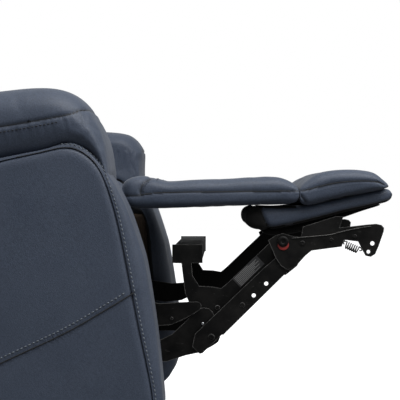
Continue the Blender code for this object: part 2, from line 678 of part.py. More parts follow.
def pushing_rod(name, actuator, start):
    """A rod that ends in a trough, which pushes the lift's cross tube."""
    length = math.dist(actuator[1], actuator[2])
    face = length - TUBE_RADIUS - 0.0025
    rod = round_rod(name, actuator, start, face - 0.006, 0.0100, "bright_steel")
    pad = rod_block("pad", actuator, face - 0.010, face, 0.0180, 0.0220, "bright_steel")
    join(rod, pad)
    return pivot_at(smooth(rod), *actuator[1], actuator[0])


def build_actuators():
    motor_housing("lift_motor", LIFT_ACTUATOR, 0.420, 0.285, 1)
    pushing_rod("lift_rod", LIFT_ACTUATOR, 0.290)
    motor_housing("footrest_motor", FOOTREST_ACTUATOR, 0.360, 0.245, -1)
    forked_rod("footrest_rod", FOOTREST_ACTUATOR, 0.252)
    motor_housing("back_motor", BACK_ACTUATOR, 0.360, 0.210, 1)
    forked_rod("back_rod", BACK_ACTUATOR, 0.300)


def main():
    clear_scene()
    build_base()
    build_lift()
    build_chassis()
    build_arms()
    build_controls()
    build_back()
    build_footrest()
    build_actuators()


main()
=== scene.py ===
"""Looks of the lift recliner chair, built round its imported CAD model.

World axes are the model's, in metres: the chair faces -Y and its right arm is at -X, which the
camera sees. Side views are laid out in (u, z), u forward from a point of the chassis, so y = U_MID - u.
"""
import math

import bmesh
import bpy
import numpy as np
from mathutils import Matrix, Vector, noise
from mathutils.bvhtree import BVHTree

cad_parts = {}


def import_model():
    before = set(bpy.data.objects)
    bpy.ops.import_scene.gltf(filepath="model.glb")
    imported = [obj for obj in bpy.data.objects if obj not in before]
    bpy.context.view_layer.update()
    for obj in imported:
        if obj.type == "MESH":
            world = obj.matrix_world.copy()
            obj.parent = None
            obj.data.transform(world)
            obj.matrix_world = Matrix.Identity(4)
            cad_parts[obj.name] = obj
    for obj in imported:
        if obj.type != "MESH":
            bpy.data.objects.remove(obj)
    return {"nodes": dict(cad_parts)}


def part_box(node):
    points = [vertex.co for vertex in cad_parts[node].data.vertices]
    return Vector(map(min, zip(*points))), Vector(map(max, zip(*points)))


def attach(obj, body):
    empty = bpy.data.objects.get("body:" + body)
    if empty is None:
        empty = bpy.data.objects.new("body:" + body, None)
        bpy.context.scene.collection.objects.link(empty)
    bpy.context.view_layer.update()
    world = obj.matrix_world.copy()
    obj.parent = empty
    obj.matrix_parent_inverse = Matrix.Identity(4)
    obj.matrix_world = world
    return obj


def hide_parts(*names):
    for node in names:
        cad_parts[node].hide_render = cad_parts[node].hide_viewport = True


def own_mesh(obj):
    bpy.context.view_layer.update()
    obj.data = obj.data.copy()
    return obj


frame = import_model()
NODES = frame["nodes"]
SCENE = bpy.context.scene
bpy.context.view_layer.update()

U_MID = 0.156
ARM_INNER = 0.265
ARM_OUTER = 0.44
SIDES = (("left", 1), ("right", -1))

# The footrest linkage's pivot on the ottoman brackets, (u, z)
OTTOMAN_PIVOT = (0.6157, 0.4026)

# Simulation
SIM_FRAMES = 20
SIM_PRESSURE = 4.0
SIM_QUALITY = 4
SIM_STRETCH = 12.0
SIM_BEND = 0.4
KEPT_PASSES = 10

# How far apart the points of a drawn line are: usually, and where it bends or is stitched closely
LINE_STEP = 0.004
FINE_STEP = 0.003


# ---------------------------------------------------------------- points and meshes

def world(u, z, x=0.0):
    return Vector((x, U_MID - u, z))


def spline(points, spacing, closed=False):
    """A smooth curve through 2-D or 3-D points, as an array of evenly spaced points."""
    p = np.array(points, float)
    count = len(p)
    dense = []
    for i in range(count if closed else count - 1):
        if closed:
            a, b, c, d = p[i - 1], p[i], p[(i + 1) % count], p[(i + 2) % count]
        else:
            a, b, c, d = p[max(i - 1, 0)], p[i], p[i + 1], p[min(i + 2, count - 1)]
        for t in np.linspace(0, 1, 16, endpoint=False):
            dense.append(0.5 * (2 * b + (c - a) * t + (2 * a - 5 * b + 4 * c - d) * t ** 2
                                + (3 * b - a - 3 * c + d) * t ** 3))
    if not closed:
        dense.append(p[-1])
    return resample(dense, spacing, closed)


def lengths_along(points):
    """How far along a line each of its points is."""
    steps = np.linalg.norm(np.diff(points, axis=0), axis=1)
    return np.concatenate([[0], np.cumsum(steps)])


def resample(points, spacing, closed=False):
    p = np.array(points, float)
    if closed:
        p = np.vstack([p, p[:1]])
    length = lengths_along(p)
    count = max(2, int(round(length[-1] / spacing)))
    at = np.linspace(0, length[-1], count + 1)
    if closed:
        at = at[:-1]
    return np.stack([np.interp(at, length, p[:, k]) for k in range(p.shape[1])], axis=1)


def mesh_object(name, verts, faces, materials, smooth=True):
    mesh = bpy.data.meshes.new(name)
    mesh.from_pydata([tuple(v) for v in verts], [], [tuple(int(i) for i in f) for f in faces])
    item = bpy.data.objects.new(name, mesh)
    SCENE.collection.objects.link(item)
    for material in materials if isinstance(materials, (list, tuple)) else [materials]:
        mesh.materials.append(material)
    mesh.validate()
    fix_normals(item)
    if smooth:
        mesh.shade_smooth()
    return item


def fix_normals(item):
    bm = bmesh.new()
    bm.from_mesh(item.data)
    bmesh.ops.recalc_face_normals(bm, faces=bm.faces)
    bm.to_mesh(item.data)
    bm.free()


def ring_faces(rings, count, base=0):
    """Quads between neighbouring rings of equally many points."""
    faces = []
    for r in range(rings - 1):
        low = base + r * count
        for k in range(count):
            j = (k + 1) % count
            faces.append((low + k, low + j, low + count + j, low + count + k))
    return faces


def loft(name, rings, materials):
    """A tube of quads through rings of equally many points, closed at both ends."""
    count = len(rings[0])
    last = (len(rings) - 1) * count
    faces = ring_faces(len(rings), count)
    faces.append(tuple(range(count - 1, -1, -1)))
    faces.append(tuple(range(last, last + count)))
    return mesh_object(name, np.vstack(rings), faces, materials)


def coords(item):
    co = np.empty(len(item.data.vertices) * 3)
    item.data.vertices.foreach_get("co", co)
    return co.reshape(-1, 3)


def set_coords(item, co):
    item.data.vertices.foreach_set("co", np.asarray(co, np.float32).ravel())
    item.data.update()


def normals(item):
    no = np.empty(len(item.data.vertices) * 3, np.float32)
    item.data.vertex_normals.foreach_get("vector", no)
    return no.reshape(-1, 3).astype(float)


def push(item, amount):
    """Moves each vertex along its normal by its own amount."""
    set_coords(item, coords(item) + normals(item) * np.reshape(amount, (-1, 1)))


def apply_modifiers(item):
    bpy.context.view_layer.update()
    graph = bpy.context.evaluated_depsgraph_get()
    mesh = bpy.data.meshes.new_from_object(item.evaluated_get(graph), depsgraph=graph)
    item.modifiers.clear()
    item.data = mesh
    return item


def add_modifier(item, kind, **settings):
    modifier = item.modifiers.new(kind.title(), kind)
    for key, value in settings.items():
        setattr(modifier, key, value)
    return modifier


def tree_of(item):
    return BVHTree.FromPolygons(
        [tuple(v) for v in coords(item)], [tuple(p.vertices) for p in item.data.polygons])


def line_distance(flat, line, closed=False):
    """Distance from each (u, z) to a polyline, and the nearest point on it."""
    line = np.array(line, float)
    if closed:
        line = np.vstack([line, line[:1]])
    best = np.full(len(flat), 1e9)
    nearest = np.zeros_like(flat)
    for a, b in zip(line[:-1], line[1:]):
        d = b - a
        t = np.clip(((flat - a) @ d) / (d @ d), 0, 1)
        q = a + t[:, None] * d
        dist = np.linalg.norm(flat - q, axis=1)
        closer = dist < best
        best[closer] = dist[closer]
        nearest[closer] = q[closer]
    return best, nearest


def side_view(co):
    """(u, z) of world points."""
    return np.stack([U_MID - co[:, 1], co[:, 2]], axis=1)


# ---------------------------------------------------------------- material nodes

class Nodes:
    """A short way to write a material's node tree."""

    def __init__(self, name):
        self.material = bpy.data.materials.new(name)
        self.material.use_nodes = True
        self.tree = self.material.node_tree
        self.shader = self.tree.nodes["Principled BSDF"]
        self.place = self.add("ShaderNodeTexCoord").outputs["Object"]

    def add(self, kind, **settings):
        node = self.tree.nodes.new(kind)
        for key, value in settings.items():
            setattr(node, key, value)
        return node

    def put(self, socket, value):
        if isinstance(value, bpy.types.NodeSocket):
            self.tree.links.new(value, socket)
        else:
            socket.default_value = value

    def set(self, **values):
        for key, value in values.items():
            self.put(self.shader.inputs[key.replace("_", " ")], value)

    def stretched(self, scale, turn=(0, 0, 0)):
        mapping = self.add("ShaderNodeMapping")
        self.put(mapping.inputs["Vector"], self.place)
        mapping.inputs["Scale"].default_value = scale
        mapping.inputs["Rotation"].default_value = turn
        return mapping.outputs["Vector"]

    def noise(self, scale, detail=3.0, rough=0.55, distortion=0.0, vector=None):
        node = self.add("ShaderNodeTexNoise")
        self.put(node.inputs["Vector"], vector or self.place)
        node.inputs["Scale"].default_value = scale
        node.inputs["Detail"].default_value = detail
        node.inputs["Roughness"].default_value = rough
        node.inputs["Distortion"].default_value = distortion
        return node.outputs["Fac"]

    def cells(self, scale):
        node = self.add("ShaderNodeTexVoronoi", feature="F1")
        self.put(node.inputs["Vector"], self.place)
        node.inputs["Scale"].default_value = scale
        return node.outputs["Distance"]

    def ramp(self, fac, *stops):
        node = self.add("ShaderNodeValToRGB")
        self.put(node.inputs["Fac"], fac)
        band = node.color_ramp
        while len(band.elements) < len(stops):
            band.elements.new(0.5)
        for element, (at, colour) in zip(band.elements, stops):
            element.position = at
            element.color = colour if len(colour) == 4 else (*colour, 1.0)
        return node.outputs["Color"]

    def range(self, value, low, high, to_low, to_high):
        node = self.add("ShaderNodeMapRange")
        self.put(node.inputs["Value"], value)
        for key, number in zip(("From Min", "From Max", "To Min", "To Max"), (low, high, to_low, to_high)):
            node.inputs[key].default_value = number
        return node.outputs["Result"]

    def mix(self, fac, a, b, mode="MIX"):
        node = self.add("ShaderNodeMix", data_type="RGBA", blend_type=mode)
        self.put(node.inputs["Factor"], fac)
        for socket, value in ((node.inputs[6], a), (node.inputs[7], b)):
            self.put(socket, value if isinstance(value, bpy.types.NodeSocket) else (*value, 1.0))
        return node.outputs[2]

    def bump(self, *layers):
        """Layers of (height, strength, distance), the finest last."""
        normal = None
        for height, strength, distance in layers:
            node = self.add("ShaderNodeBump")
            node.inputs["Strength"].default_value = strength
            node.inputs["Distance"].default_value = distance
            self.put(node.inputs["Height"], height)
            if normal is not None:
                self.put(node.inputs["Normal"], normal)
            normal = node.outputs["Normal"]
        self.put(self.shader.inputs["Normal"], normal)


def grey(value):
    return (value, value, value)


def leather_material(name, dark, light):
    """Fine pebbled upholstery leather with a soft sheen, and painted shade along its seams."""
    n = Nodes(name)
    broad = n.noise(6.0, 4.0, 0.6)
    fine = n.noise(420.0, 3.0, 0.65)
    pebble = n.cells(760.0)
    crease = n.noise(60.0, 5.0, 0.6, 0.8)
    base = n.mix(n.range(broad, 0.3, 0.7, 0.0, 1.0), dark, light)
    speckle = n.ramp(fine, (0.3, grey(0.76)), (0.68, grey(1.2)))
    mottled = n.mix(1.0, base, speckle, "MULTIPLY")
    pores = n.ramp(pebble, (0.0, grey(0.72)), (0.4, grey(1.0)))
    grained = n.mix(0.8, mottled, pores, "MULTIPLY")
    # Painted shade: the colour darkens towards a near-black where the seam attribute is high.
    seam = n.add("ShaderNodeAttribute", attribute_name="seam").outputs["Fac"]
    n.set(Base_Color=n.mix(n.range(seam, 0.05, 0.9, 0.0, 0.88), grained, tuple(0.16 * c for c in dark)))
    n.set(Roughness=n.range(n.noise(26.0, 4.0), 0.3, 0.7, 0.46, 0.6))
    n.set(Sheen_Weight=0.06, Sheen_Roughness=0.5, Specular_IOR_Level=0.3)
    n.bump((crease, 0.16, 0.0012), (fine, 0.3, 0.0005), (pebble, 0.3, 0.0005))
    return n.material


def metal_material(name, base=0.001, scratch_and_highlight=0.15, rough=(0.4, 0.62), edges=0.9):
    """Black powder coat: orange-peel texture, dust, fine scratches, and edges painted lighter, partly
    rubbed wear and partly painted highlight.
    """
    n = Nodes(name)
    peel = n.noise(700.0, 2.0)
    patch = n.noise(22.0, 5.0, 0.7)
    scratch = n.noise(1.0, 4.0, 0.7, 0.4, n.stretched((900.0, 90.0, 420.0), (0.5, 0.2, 0.3)))
    dust = n.mix(n.range(patch, 0.42, 0.72, 0.0, 1.0), grey(base), (base * 7.0, base * 6.7, base * 6.2))
    marked = n.mix(n.range(scratch, 0.66, 0.74, 0.0, 0.34), dust, (scratch_and_highlight, scratch_and_highlight * 0.98, scratch_and_highlight * 0.95))
    # Painted highlight and rubbed wear: the colour lightens along the edges the bevel finds.
    bevel = n.add("ShaderNodeBevel", samples=6)
    bevel.inputs["Radius"].default_value = 0.002
    dot = n.add("ShaderNodeVectorMath", operation="DOT_PRODUCT")
    n.put(dot.inputs[0], bevel.outputs["Normal"])
    n.put(dot.inputs[1], n.add("ShaderNodeNewGeometry").outputs["Normal"])
    edge = n.range(dot.outputs["Value"], 0.985, 0.86, 0.0, 1.0)
    wear_and_highlight = n.add("ShaderNodeMath", operation="MULTIPLY")
    n.put(wear_and_highlight.inputs[0], edge)
    n.put(wear_and_highlight.inputs[1], n.range(n.noise(95.0, 4.0, 0.7), 0.35, 0.62, 0.15, edges))
    n.set(Base_Color=n.mix(wear_and_highlight.outputs["Value"], marked, (scratch_and_highlight, scratch_and_highlight * 0.99, scratch_and_highlight * 0.96)))
    n.set(Roughness=n.range(patch, 0.3, 0.7, *rough), Specular_IOR_Level=0.14)
    n.bump((patch, 0.05, 0.001), (peel, 0.14, 0.0004))
    return n.material


def steel_material(name, base):
    """Bright steel, brushed along its length and a little stained."""
    n = Nodes(name)
    brushed = n.noise(1.0, 3.0, 0.6, 0.0, n.stretched((1400.0, 60.0, 1400.0)))
    stain = n.noise(35.0, 4.0)
    dark = tuple(0.78 * c for c in base)
    n.set(Base_Color=n.mix(n.range(stain, 0.35, 0.7, 0.0, 1.0), base, dark))
    n.set(Roughness=n.range(brushed, 0.3, 0.7, 0.22, 0.38), Metallic=1.0)
    n.bump((brushed, 0.12, 0.0003),)
    return n.material


def plastic_material(name, base, rough=(0.46, 0.6)):
    """Moulded plastic with a fine spark texture."""
    n = Nodes(name)
    texture = n.noise(900.0, 2.0)
    haze = n.noise(18.0, 4.0)
    light = tuple(1.35 * c for c in base)
    n.set(Base_Color=n.mix(n.range(haze, 0.3, 0.7, 0.0, 1.0), base, light))
    n.set(Roughness=n.range(haze, 0.3, 0.7, *rough))
    n.bump((haze, 0.04, 0.001), (texture, 0.2, 0.0003))
    return n.material


def fabric_material(name, base):
    """Plain weave: two sets of threads at right angles."""
    n = Nodes(name)
    waves = []
    for axis in ("Y", "Z"):
        wave = n.add("ShaderNodeTexWave", wave_type="BANDS", bands_direction=axis)
        n.put(wave.inputs["Vector"], n.place)
        wave.inputs["Scale"].default_value = 250.0
        wave.inputs["Distortion"].default_value = 0.6
        waves.append(wave.outputs["Fac"])
    weave = n.mix(0.5, waves[0], waves[1], "MIX")
    fuzz = n.noise(300.0, 4.0, 0.7)
    broad = n.noise(9.0, 3.0)
    light = tuple(1.7 * c for c in base)
    tone = n.mix(n.range(fuzz, 0.3, 0.7, 0.0, 1.0), base, light)
    n.set(Base_Color=n.mix(n.range(broad, 0.3, 0.7, 0.0, 0.4), tone, tuple(0.6 * c for c in base)))
    n.set(Roughness=n.range(fuzz, 0.3, 0.7, 0.8, 0.95))
    n.set(Sheen_Weight=0.05, Sheen_Roughness=0.6, Specular_IOR_Level=0.15)
    n.bump((weave, 0.35, 0.0006), (fuzz, 0.3, 0.0006))
    return n.material


def thread_material(name, base):
    """Twisted sewing thread."""
    n = Nodes(name)
    twist = n.noise(1800.0, 2.0)
    n.set(Base_Color=n.mix(n.range(twist, 0.35, 0.65, 0.0, 1.0), tuple(0.6 * c for c in base), base))
    n.set(Roughness=n.range(twist, 0.3, 0.7, 0.55, 0.8))
    n.bump((twist, 0.4, 0.0002),)
    return n.material


def rubber_material(name, base):
    n = Nodes(name)
    grit = n.noise(500.0, 4.0, 0.7)
    n.set(Base_Color=n.mix(n.range(grit, 0.4, 0.7, 0.0, 1.0), grey(base), grey(base * 1.8)))
    n.set(Roughness=n.range(grit, 0.3, 0.7, 0.75, 0.92))
    n.bump((grit, 0.3, 0.0005),)
    return n.material


LEATHER = leather_material("leather", (0.031, 0.0412, 0.064), (0.042, 0.054, 0.08))
INNER_FABRIC = fabric_material("inner_fabric", (0.026, 0.018, 0.0125))
UNDER_FABRIC = fabric_material("underside_fabric", (0.0022, 0.0021, 0.002))
COAT = metal_material("powder_coat")
# A lighter copy of the powder coat for the bracket lips: rubbed wear and a painted highlight.
WORN_HIGHLIT_COAT = metal_material("worn_highlit_coat", 0.012, 0.3, (0.35, 0.5), 1.0)
STEEL = steel_material("bright_steel", (0.52, 0.53, 0.55))
SPRING_STEEL = plastic_material("spring_steel", (0.022, 0.022, 0.021), (0.36, 0.48))
PLASTIC = plastic_material("black_plastic", (0.008, 0.008, 0.009))
GREY_PLASTIC = plastic_material("grey_plastic", (0.11, 0.116, 0.125))
RED = plastic_material("red_bushing", (0.16, 0.01, 0.008), (0.42, 0.55))
RUBBER = rubber_material("rubber", 0.01)
THREAD = thread_material("topstitch", (0.12, 0.138, 0.16))
THREAD_DARK = thread_material("dark_stitch", (0.006, 0.008, 0.012))
SEAM_SHADE = thread_material("seam_shade", (0.0035, 0.0042, 0.006))
# A near-black copy of the leather: painted shade on the flat strip of each arm's inner border.
PAINTED_SHADE_BORDER = leather_material("painted_shade_border", (0.005, 0.0062, 0.0085), (0.007, 0.0085, 0.0115))
LABEL = plastic_material("label", (0.01, 0.01, 0.011), (0.3, 0.4))
LABEL_INK = plastic_material("label_ink", (0.15, 0.15, 0.148), (0.45, 0.55))


# ---------------------------------------------------------------- camera, light, floor

def build_studio():
    camera = bpy.data.cameras.new("camera")
    camera.lens = 97.6
    camera.sensor_width = 36.0
    camera.shift_x = -0.05
    camera.clip_end = 200.0
    item = bpy.data.objects.new("camera", camera)
    item.location = world(0.505, 0.476, -2.15)
    item.rotation_euler = (math.radians(90), 0, math.radians(-90))
    SCENE.collection.objects.link(item)
    SCENE.camera = item
    SCENE.view_settings.view_transform = "Standard"

    build_sky()
    softbox("top_light", (-1.3, -0.7, 2.6), (0.0, -0.1, 0.4), 1.6, 56.0)
    softbox("front_light", (-1.5, -2.5, 2.3), (0.0, -0.1, 0.45), 1.3, 46.0)
    floor = mesh_object(
        "floor", [(-14, -14, -0.0002), (14, -14, -0.0002), (14, 14, -0.0002), (-14, 14, -0.0002)],
        [(0, 1, 2, 3)], floor_material(), smooth=False)


def build_sky():
    """A white surround, which lights the chair as a softer dome, brightest overhead."""
    sky = bpy.data.worlds.new("studio")
    sky.use_nodes = True
    SCENE.world = sky
    tree = sky.node_tree
    link = tree.links.new
    white = tree.nodes["Background"]
    white.inputs["Color"].default_value = (1.0, 1.0, 1.0, 1.0)
    white.inputs["Strength"].default_value = 1.0
    dome = tree.nodes.new("ShaderNodeBackground")
    dome.inputs["Color"].default_value = (0.97, 0.985, 1.0, 1.0)
    way = tree.nodes.new("ShaderNodeSeparateXYZ")
    link(tree.nodes.new("ShaderNodeTexCoord").outputs["Generated"], way.inputs[0])
    height = tree.nodes.new("ShaderNodeMapRange")
    link(way.outputs["Z"], height.inputs["Value"])
    for key, value in (("From Min", 0.0), ("From Max", 0.9), ("To Min", 0.27), ("To Max", 0.95)):
        height.inputs[key].default_value = value
    link(height.outputs["Result"], dome.inputs["Strength"])
    mix = tree.nodes.new("ShaderNodeMixShader")
    link(tree.nodes.new("ShaderNodeLightPath").outputs["Is Camera Ray"], mix.inputs[0])
    link(dome.outputs[0], mix.inputs[1])
    link(white.outputs[0], mix.inputs[2])
    link(mix.outputs[0], tree.nodes["World Output"].inputs["Surface"])


def softbox(name, at, towards, size, power):
    lamp = bpy.data.lights.new(name, "AREA")
    lamp.shape = "SQUARE"
    lamp.size = size
    lamp.energy = power
    item = bpy.data.objects.new(name, lamp)
    item.location = at
    item.rotation_euler = (Vector(towards) - Vector(at)).to_track_quat("-Z", "Y").to_euler()
    SCENE.collection.objects.link(item)


def floor_material():
    """White paper: it looks pale, and throws only a little light back up."""
    n = Nodes("floor")
    seen = n.add("ShaderNodeLightPath").outputs["Is Camera Ray"]
    n.set(Base_Color=n.mix(seen, grey(0.14), grey(0.88)), Roughness=0.9)
    n.set(Emission_Color=(1.0, 1.0, 1.0, 1.0), Emission_Strength=n.range(seen, 0.0, 1.0, 0.0, 0.5))
    return n.material


# ---------------------------------------------------------------- soft pieces

def copy_of_node(node, name, material):
    mesh = NODES[node].data.copy()
    mesh.materials.clear()
    mesh.materials.append(material)
    for polygon in mesh.polygons:
        polygon.material_index = 0
    item = bpy.data.objects.new(name, mesh)
    SCENE.collection.objects.link(item)
    return item


def soft_form(node, name, cell, shrink):
    """An evenly meshed, slightly smaller copy of a soft CAD solid, ready to be inflated."""
    item = copy_of_node(node, name, LEATHER)
    add_modifier(item, "REMESH", mode="VOXEL", voxel_size=cell)
    add_modifier(item, "SMOOTH", factor=0.5, iterations=4)
    apply_modifiers(item)
    item.data.shade_smooth()
    push(item, -shrink)
    return item


def start_cloth(item):
    """Makes a piece pressurised cloth."""
    settings = add_modifier(item, "CLOTH").settings
    settings.use_pressure = True
    settings.uniform_pressure_force = SIM_PRESSURE
    settings.effector_weights.gravity = 0.0
    settings.quality = SIM_QUALITY
    settings.tension_stiffness = SIM_STRETCH
    settings.compression_stiffness = SIM_STRETCH
    settings.bending_stiffness = SIM_BEND


def settled(item, rest, cap, keep, graph):
    """Where a simulated piece's vertices end, none further than the cap from their rest."""
    mesh = item.evaluated_get(graph).to_mesh()
    co = np.empty(len(mesh.vertices) * 3)
    mesh.vertices.foreach_get("co", co)
    move = co.reshape(-1, 3) - rest
    length = np.linalg.norm(move, axis=1, keepdims=True)
    move *= cap * np.tanh(length / cap) / np.maximum(length, 1e-9)
    if keep:
        move -= smoothed(item, move, KEPT_PASSES)
    return rest + move


def inflate(jobs):
    """Simulates each (piece, cap, keep) as pressurised cloth, all at once.

    A piece that keeps its outline takes only the small wrinkles of the simulated cloth.
    """
    rest = {item.name: coords(item) for item, _, _ in jobs}
    for item, _, _ in jobs:
        start_cloth(item)
    for step in range(1, SIM_FRAMES + 1):
        SCENE.frame_set(step)
    graph = bpy.context.evaluated_depsgraph_get()
    moved = {item.name: settled(item, rest[item.name], cap, keep, graph) for item, cap, keep in jobs}
    for item, _, _ in jobs:
        item.modifiers.clear()
        set_coords(item, moved[item.name])
    SCENE.frame_set(1)


def smoothed(item, values, passes):
    """Values at a mesh's vertices, averaged over their neighbours again and again."""
    edges = np.empty(len(item.data.edges) * 2, int)
    item.data.edges.foreach_get("vertices", edges)
    a, b = edges.reshape(-1, 2).T
    weight = np.bincount(np.concatenate([a, b]), minlength=len(values))[:, None]
    for _ in range(passes):
        total = np.zeros_like(values)
        np.add.at(total, a, values[b])
        np.add.at(total, b, values[a])
        values = 0.5 * values + 0.5 * total / np.maximum(weight, 1)
    return values


def crown(item, amount):
    """A quick stand-in for the simulation: faces swell in their middles."""
    co = coords(item)
    low, high = co.min(0), co.max(0)
    unit = (co - (low + high) / 2) / ((high - low) / 2)
    no = normals(item)
    rise = np.ones(len(co))
    for axis in range(3):
        flat = 1 - no[:, axis] ** 2
        rise *= 1 - flat * np.clip(np.abs(unit[:, axis]), 0, 1) ** 2.2
    push(item, amount * np.clip(rise, 0, 1))


def finer(item):
    add_modifier(item, "SUBSURF", levels=1, render_levels=1)
    return apply_modifiers(item)


def paint_seam_shade(item, shade):
    """Keeps how close each vertex is to a seam, by which the leather paints shade there."""
    attribute = item.data.attributes.get("seam")
    if attribute is None:
        attribute = item.data.attributes.new("seam", "FLOAT", "POINT")
    old = np.zeros(len(item.data.vertices), np.float32)
    attribute.data.foreach_get("value", old)
    attribute.data.foreach_set("value", np.maximum(old, shade).astype(np.float32))


def sew(item, line, depth, width, snap=0.0, where=None):
    """Pulls a seam into a piece along a line in side view, and paints shade along it."""
    co = coords(item)
    outward = normals(item)
    dist, nearest = line_distance(side_view(co), line)
    mask = np.ones(len(co), bool) if where is None else where(co)
    near = mask & (dist < snap)
    co[near, 1] = U_MID - nearest[near, 0]
    co[near, 2] = nearest[near, 1]
    dist[near] = 0
    pull = np.exp(-(dist / width) ** 2) * mask
    set_coords(item, co - outward * (depth * pull)[:, None])
    paint_seam_shade(item, np.exp(-(dist / (0.6 * width)) ** 2) * mask)


def lap(item, line, height, reach, where):
    """A lapped seam: the panel above the line stands a little proud of the one below it."""
    flat = side_view(coords(item))
    dist, nearest = line_distance(flat, line)
    above = flat[:, 1] > nearest[:, 1]
    lift = np.where(above, np.exp(-dist / reach), -0.5 * np.exp(-dist / (0.5 * reach)))
    push(item, height * lift * where)


def ripple(item, amount, scale, seed, where=None):
    """Low soft unevenness, as padded leather has."""
    co = coords(item)
    shift = Vector((seed * 3.1, seed * 1.7, seed * 2.3))
    height = np.array([noise.noise(Vector(p) * scale + shift) for p in co])
    if where is not None:
        height *= where(co)
    push(item, amount * height)


def tube(name, path, radius, material, body, sides=8):
    """A thin round wire or thread along a path of points."""
    path = np.array([tuple(p) for p in path], float)
    along = np.gradient(path, axis=0)
    along /= np.linalg.norm(along, axis=1, keepdims=True)
    side = np.cross(along[0], (0.31, 0.52, 0.79))
    verts = []
    for p, d in zip(path, along):
        side = side - d * (side @ d)
        side /= np.linalg.norm(side)
        up = np.cross(d, side)
        for k in range(sides):
            angle = 2 * math.pi * k / sides
            verts.append(p + radius * (side * math.cos(angle) + up * math.sin(angle)))
    faces = ring_faces(len(path), sides)
    faces.append(tuple(range(sides)))
    faces.append(tuple(range((len(path) - 1) * sides, len(path) * sides)))
    item = mesh_object(name, verts, faces, material)
    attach(item, body)
    return item


def seam_line(name, target, line, sign, body, lift=0.0, radius=0.0008):
    """The dark thread and shadow that close a seam, laid in it along a line in side view."""
    hits, facing = cast_sideways(target, spline(line, LINE_STEP), sign)
    path = np.array([tuple(hit + normal * lift) for hit, normal in zip(hits, facing)])
    wide = np.pad(path[:, 0], 3, mode="edge")
    path[:, 0] = [np.median(wide[k:k + 7]) for k in range(len(path))]
    return tube(name, path, radius, SEAM_SHADE, body, 6)


# Rings along one stitch: share of its length, lift and size as shares of the thread's radius
STITCH_RINGS = ((0.0, -0.5, 0.55), (0.16, 0.5, 1.0), (0.5, 0.75, 1.05), (0.84, 0.5, 1.0), (1.0, -0.5, 0.55))
STITCH_SIDES = 6


def unit(vector):
    return vector / max(np.linalg.norm(vector), 1e-9)


def stitches(name, path, facing, body, material=THREAD, pitch=0.007, length=0.0044, radius=0.00085):
    """A row of thread dashes along points on a surface; facing holds the surface normals."""
    path = np.array(path, float)
    facing = np.array(facing, float)
    at = lengths_along(path)

    def between(values, s):
        return np.array([np.interp(s, at, values[:, k]) for k in range(3)])

    verts, faces = [], []
    start = pitch * 0.3
    while start + length < at[-1]:
        base = len(verts)
        for share, lift, swell in STITCH_RINGS:
            s = start + share * length
            p = between(path, s)
            up = unit(between(facing, s))
            across = np.cross(unit(between(path, s + 0.001) - p), up)
            for k in range(STITCH_SIDES):
                angle = 2 * math.pi * k / STITCH_SIDES
                offset = across * math.cos(angle) + up * math.sin(angle)
                verts.append(p + up * lift * radius + offset * radius * swell)
        faces += ring_faces(len(STITCH_RINGS), STITCH_SIDES, base)
        last = len(verts) - STITCH_SIDES
        faces.append(tuple(range(base, base + STITCH_SIDES)))
        faces.append(tuple(range(last, last + STITCH_SIDES)))
        start += pitch
    item = mesh_object(name, verts, faces, material)
    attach(item, body)
    return item


def cast(tree, points, direction, reach):
    """Where parallel rays through the points meet a surface, with its normals."""
    hits, facing = [], []
    direction = Vector(direction).normalized()
    for p in points:
        where, normal, _, _ = tree.ray_cast(Vector(p) - direction * reach, direction)
        if where is None:
            continue
        if normal.dot(direction) > 0:
            normal = -normal
        hits.append(where)
        facing.append(normal)
    return hits, facing


def cast_sideways(target, line, sign):
    """Where rays from outside meet the outer (sign) face of a piece, along a line in side view."""
    return cast(tree_of(target), [world(u, z) for u, z in line], (-sign, 0, 0), 1.0)


def side_stitches(name, target, line, sign, body, **options):
    """Topstitching along a line in side view, on the outer (sign) face of a piece."""
    hits, facing = cast_sideways(target, spline(line, FINE_STEP), sign)
    return stitches(name, hits, facing, body, **options)


def finish_pad(item, node, body):
    """Hides the CAD node a leather piece stands in for, and attaches the piece to its body."""
    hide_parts(node)
    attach(item, body)


def offset_line(line, distance):
    """A polyline moved sideways, to its left when positive."""
    p = np.array(line, float)
    d = np.gradient(p, axis=0)
    d /= np.linalg.norm(d, axis=1, keepdims=True)
    return p + distance * np.stack([-d[:, 1], d[:, 0]], axis=1)


# ---------------------------------------------------------------- arms

ARM_OUTLINE = [
    (0.3335, 0.508), (0.3415, 0.4945), (0.3575, 0.46), (0.3765, 0.405), (0.3875, 0.365),
    (0.4035, 0.265), (0.414, 0.17), (0.4145, 0.14), (0.408, 0.106), (0.396, 0.082),
    (0.378, 0.067), (0.35, 0.0585), (0.15, 0.055), (-0.1, 0.055), (-0.32, 0.055),
    (-0.352, 0.062), (-0.36, 0.09), (-0.36, 0.2), (-0.36, 0.32), (-0.36, 0.42),
    (-0.356, 0.445), (-0.338, 0.458), (-0.3, 0.464), (-0.1, 0.491), (0.06, 0.522),
    (0.158, 0.5425), (0.222, 0.5545), (0.255, 0.564), (0.274, 0.5655), (0.293, 0.556),
    (0.308, 0.542), (0.322, 0.526),
]
OUTER_SEAM = [
    (-0.33, 0.448), (-0.1, 0.482), (0.06, 0.512), (0.157, 0.537), (0.22, 0.551),
    (0.26, 0.559), (0.287, 0.552), (0.312, 0.529), (0.329, 0.489), (0.345, 0.43),
    (0.363, 0.34), (0.377, 0.27), (0.397, 0.173), (0.3975, 0.135), (0.39, 0.108),
    (0.378, 0.09), (0.35, 0.074), (0.15, 0.067), (-0.1, 0.067), (-0.33, 0.067),
    (-0.345, 0.08), (-0.348, 0.2), (-0.348, 0.42),
]
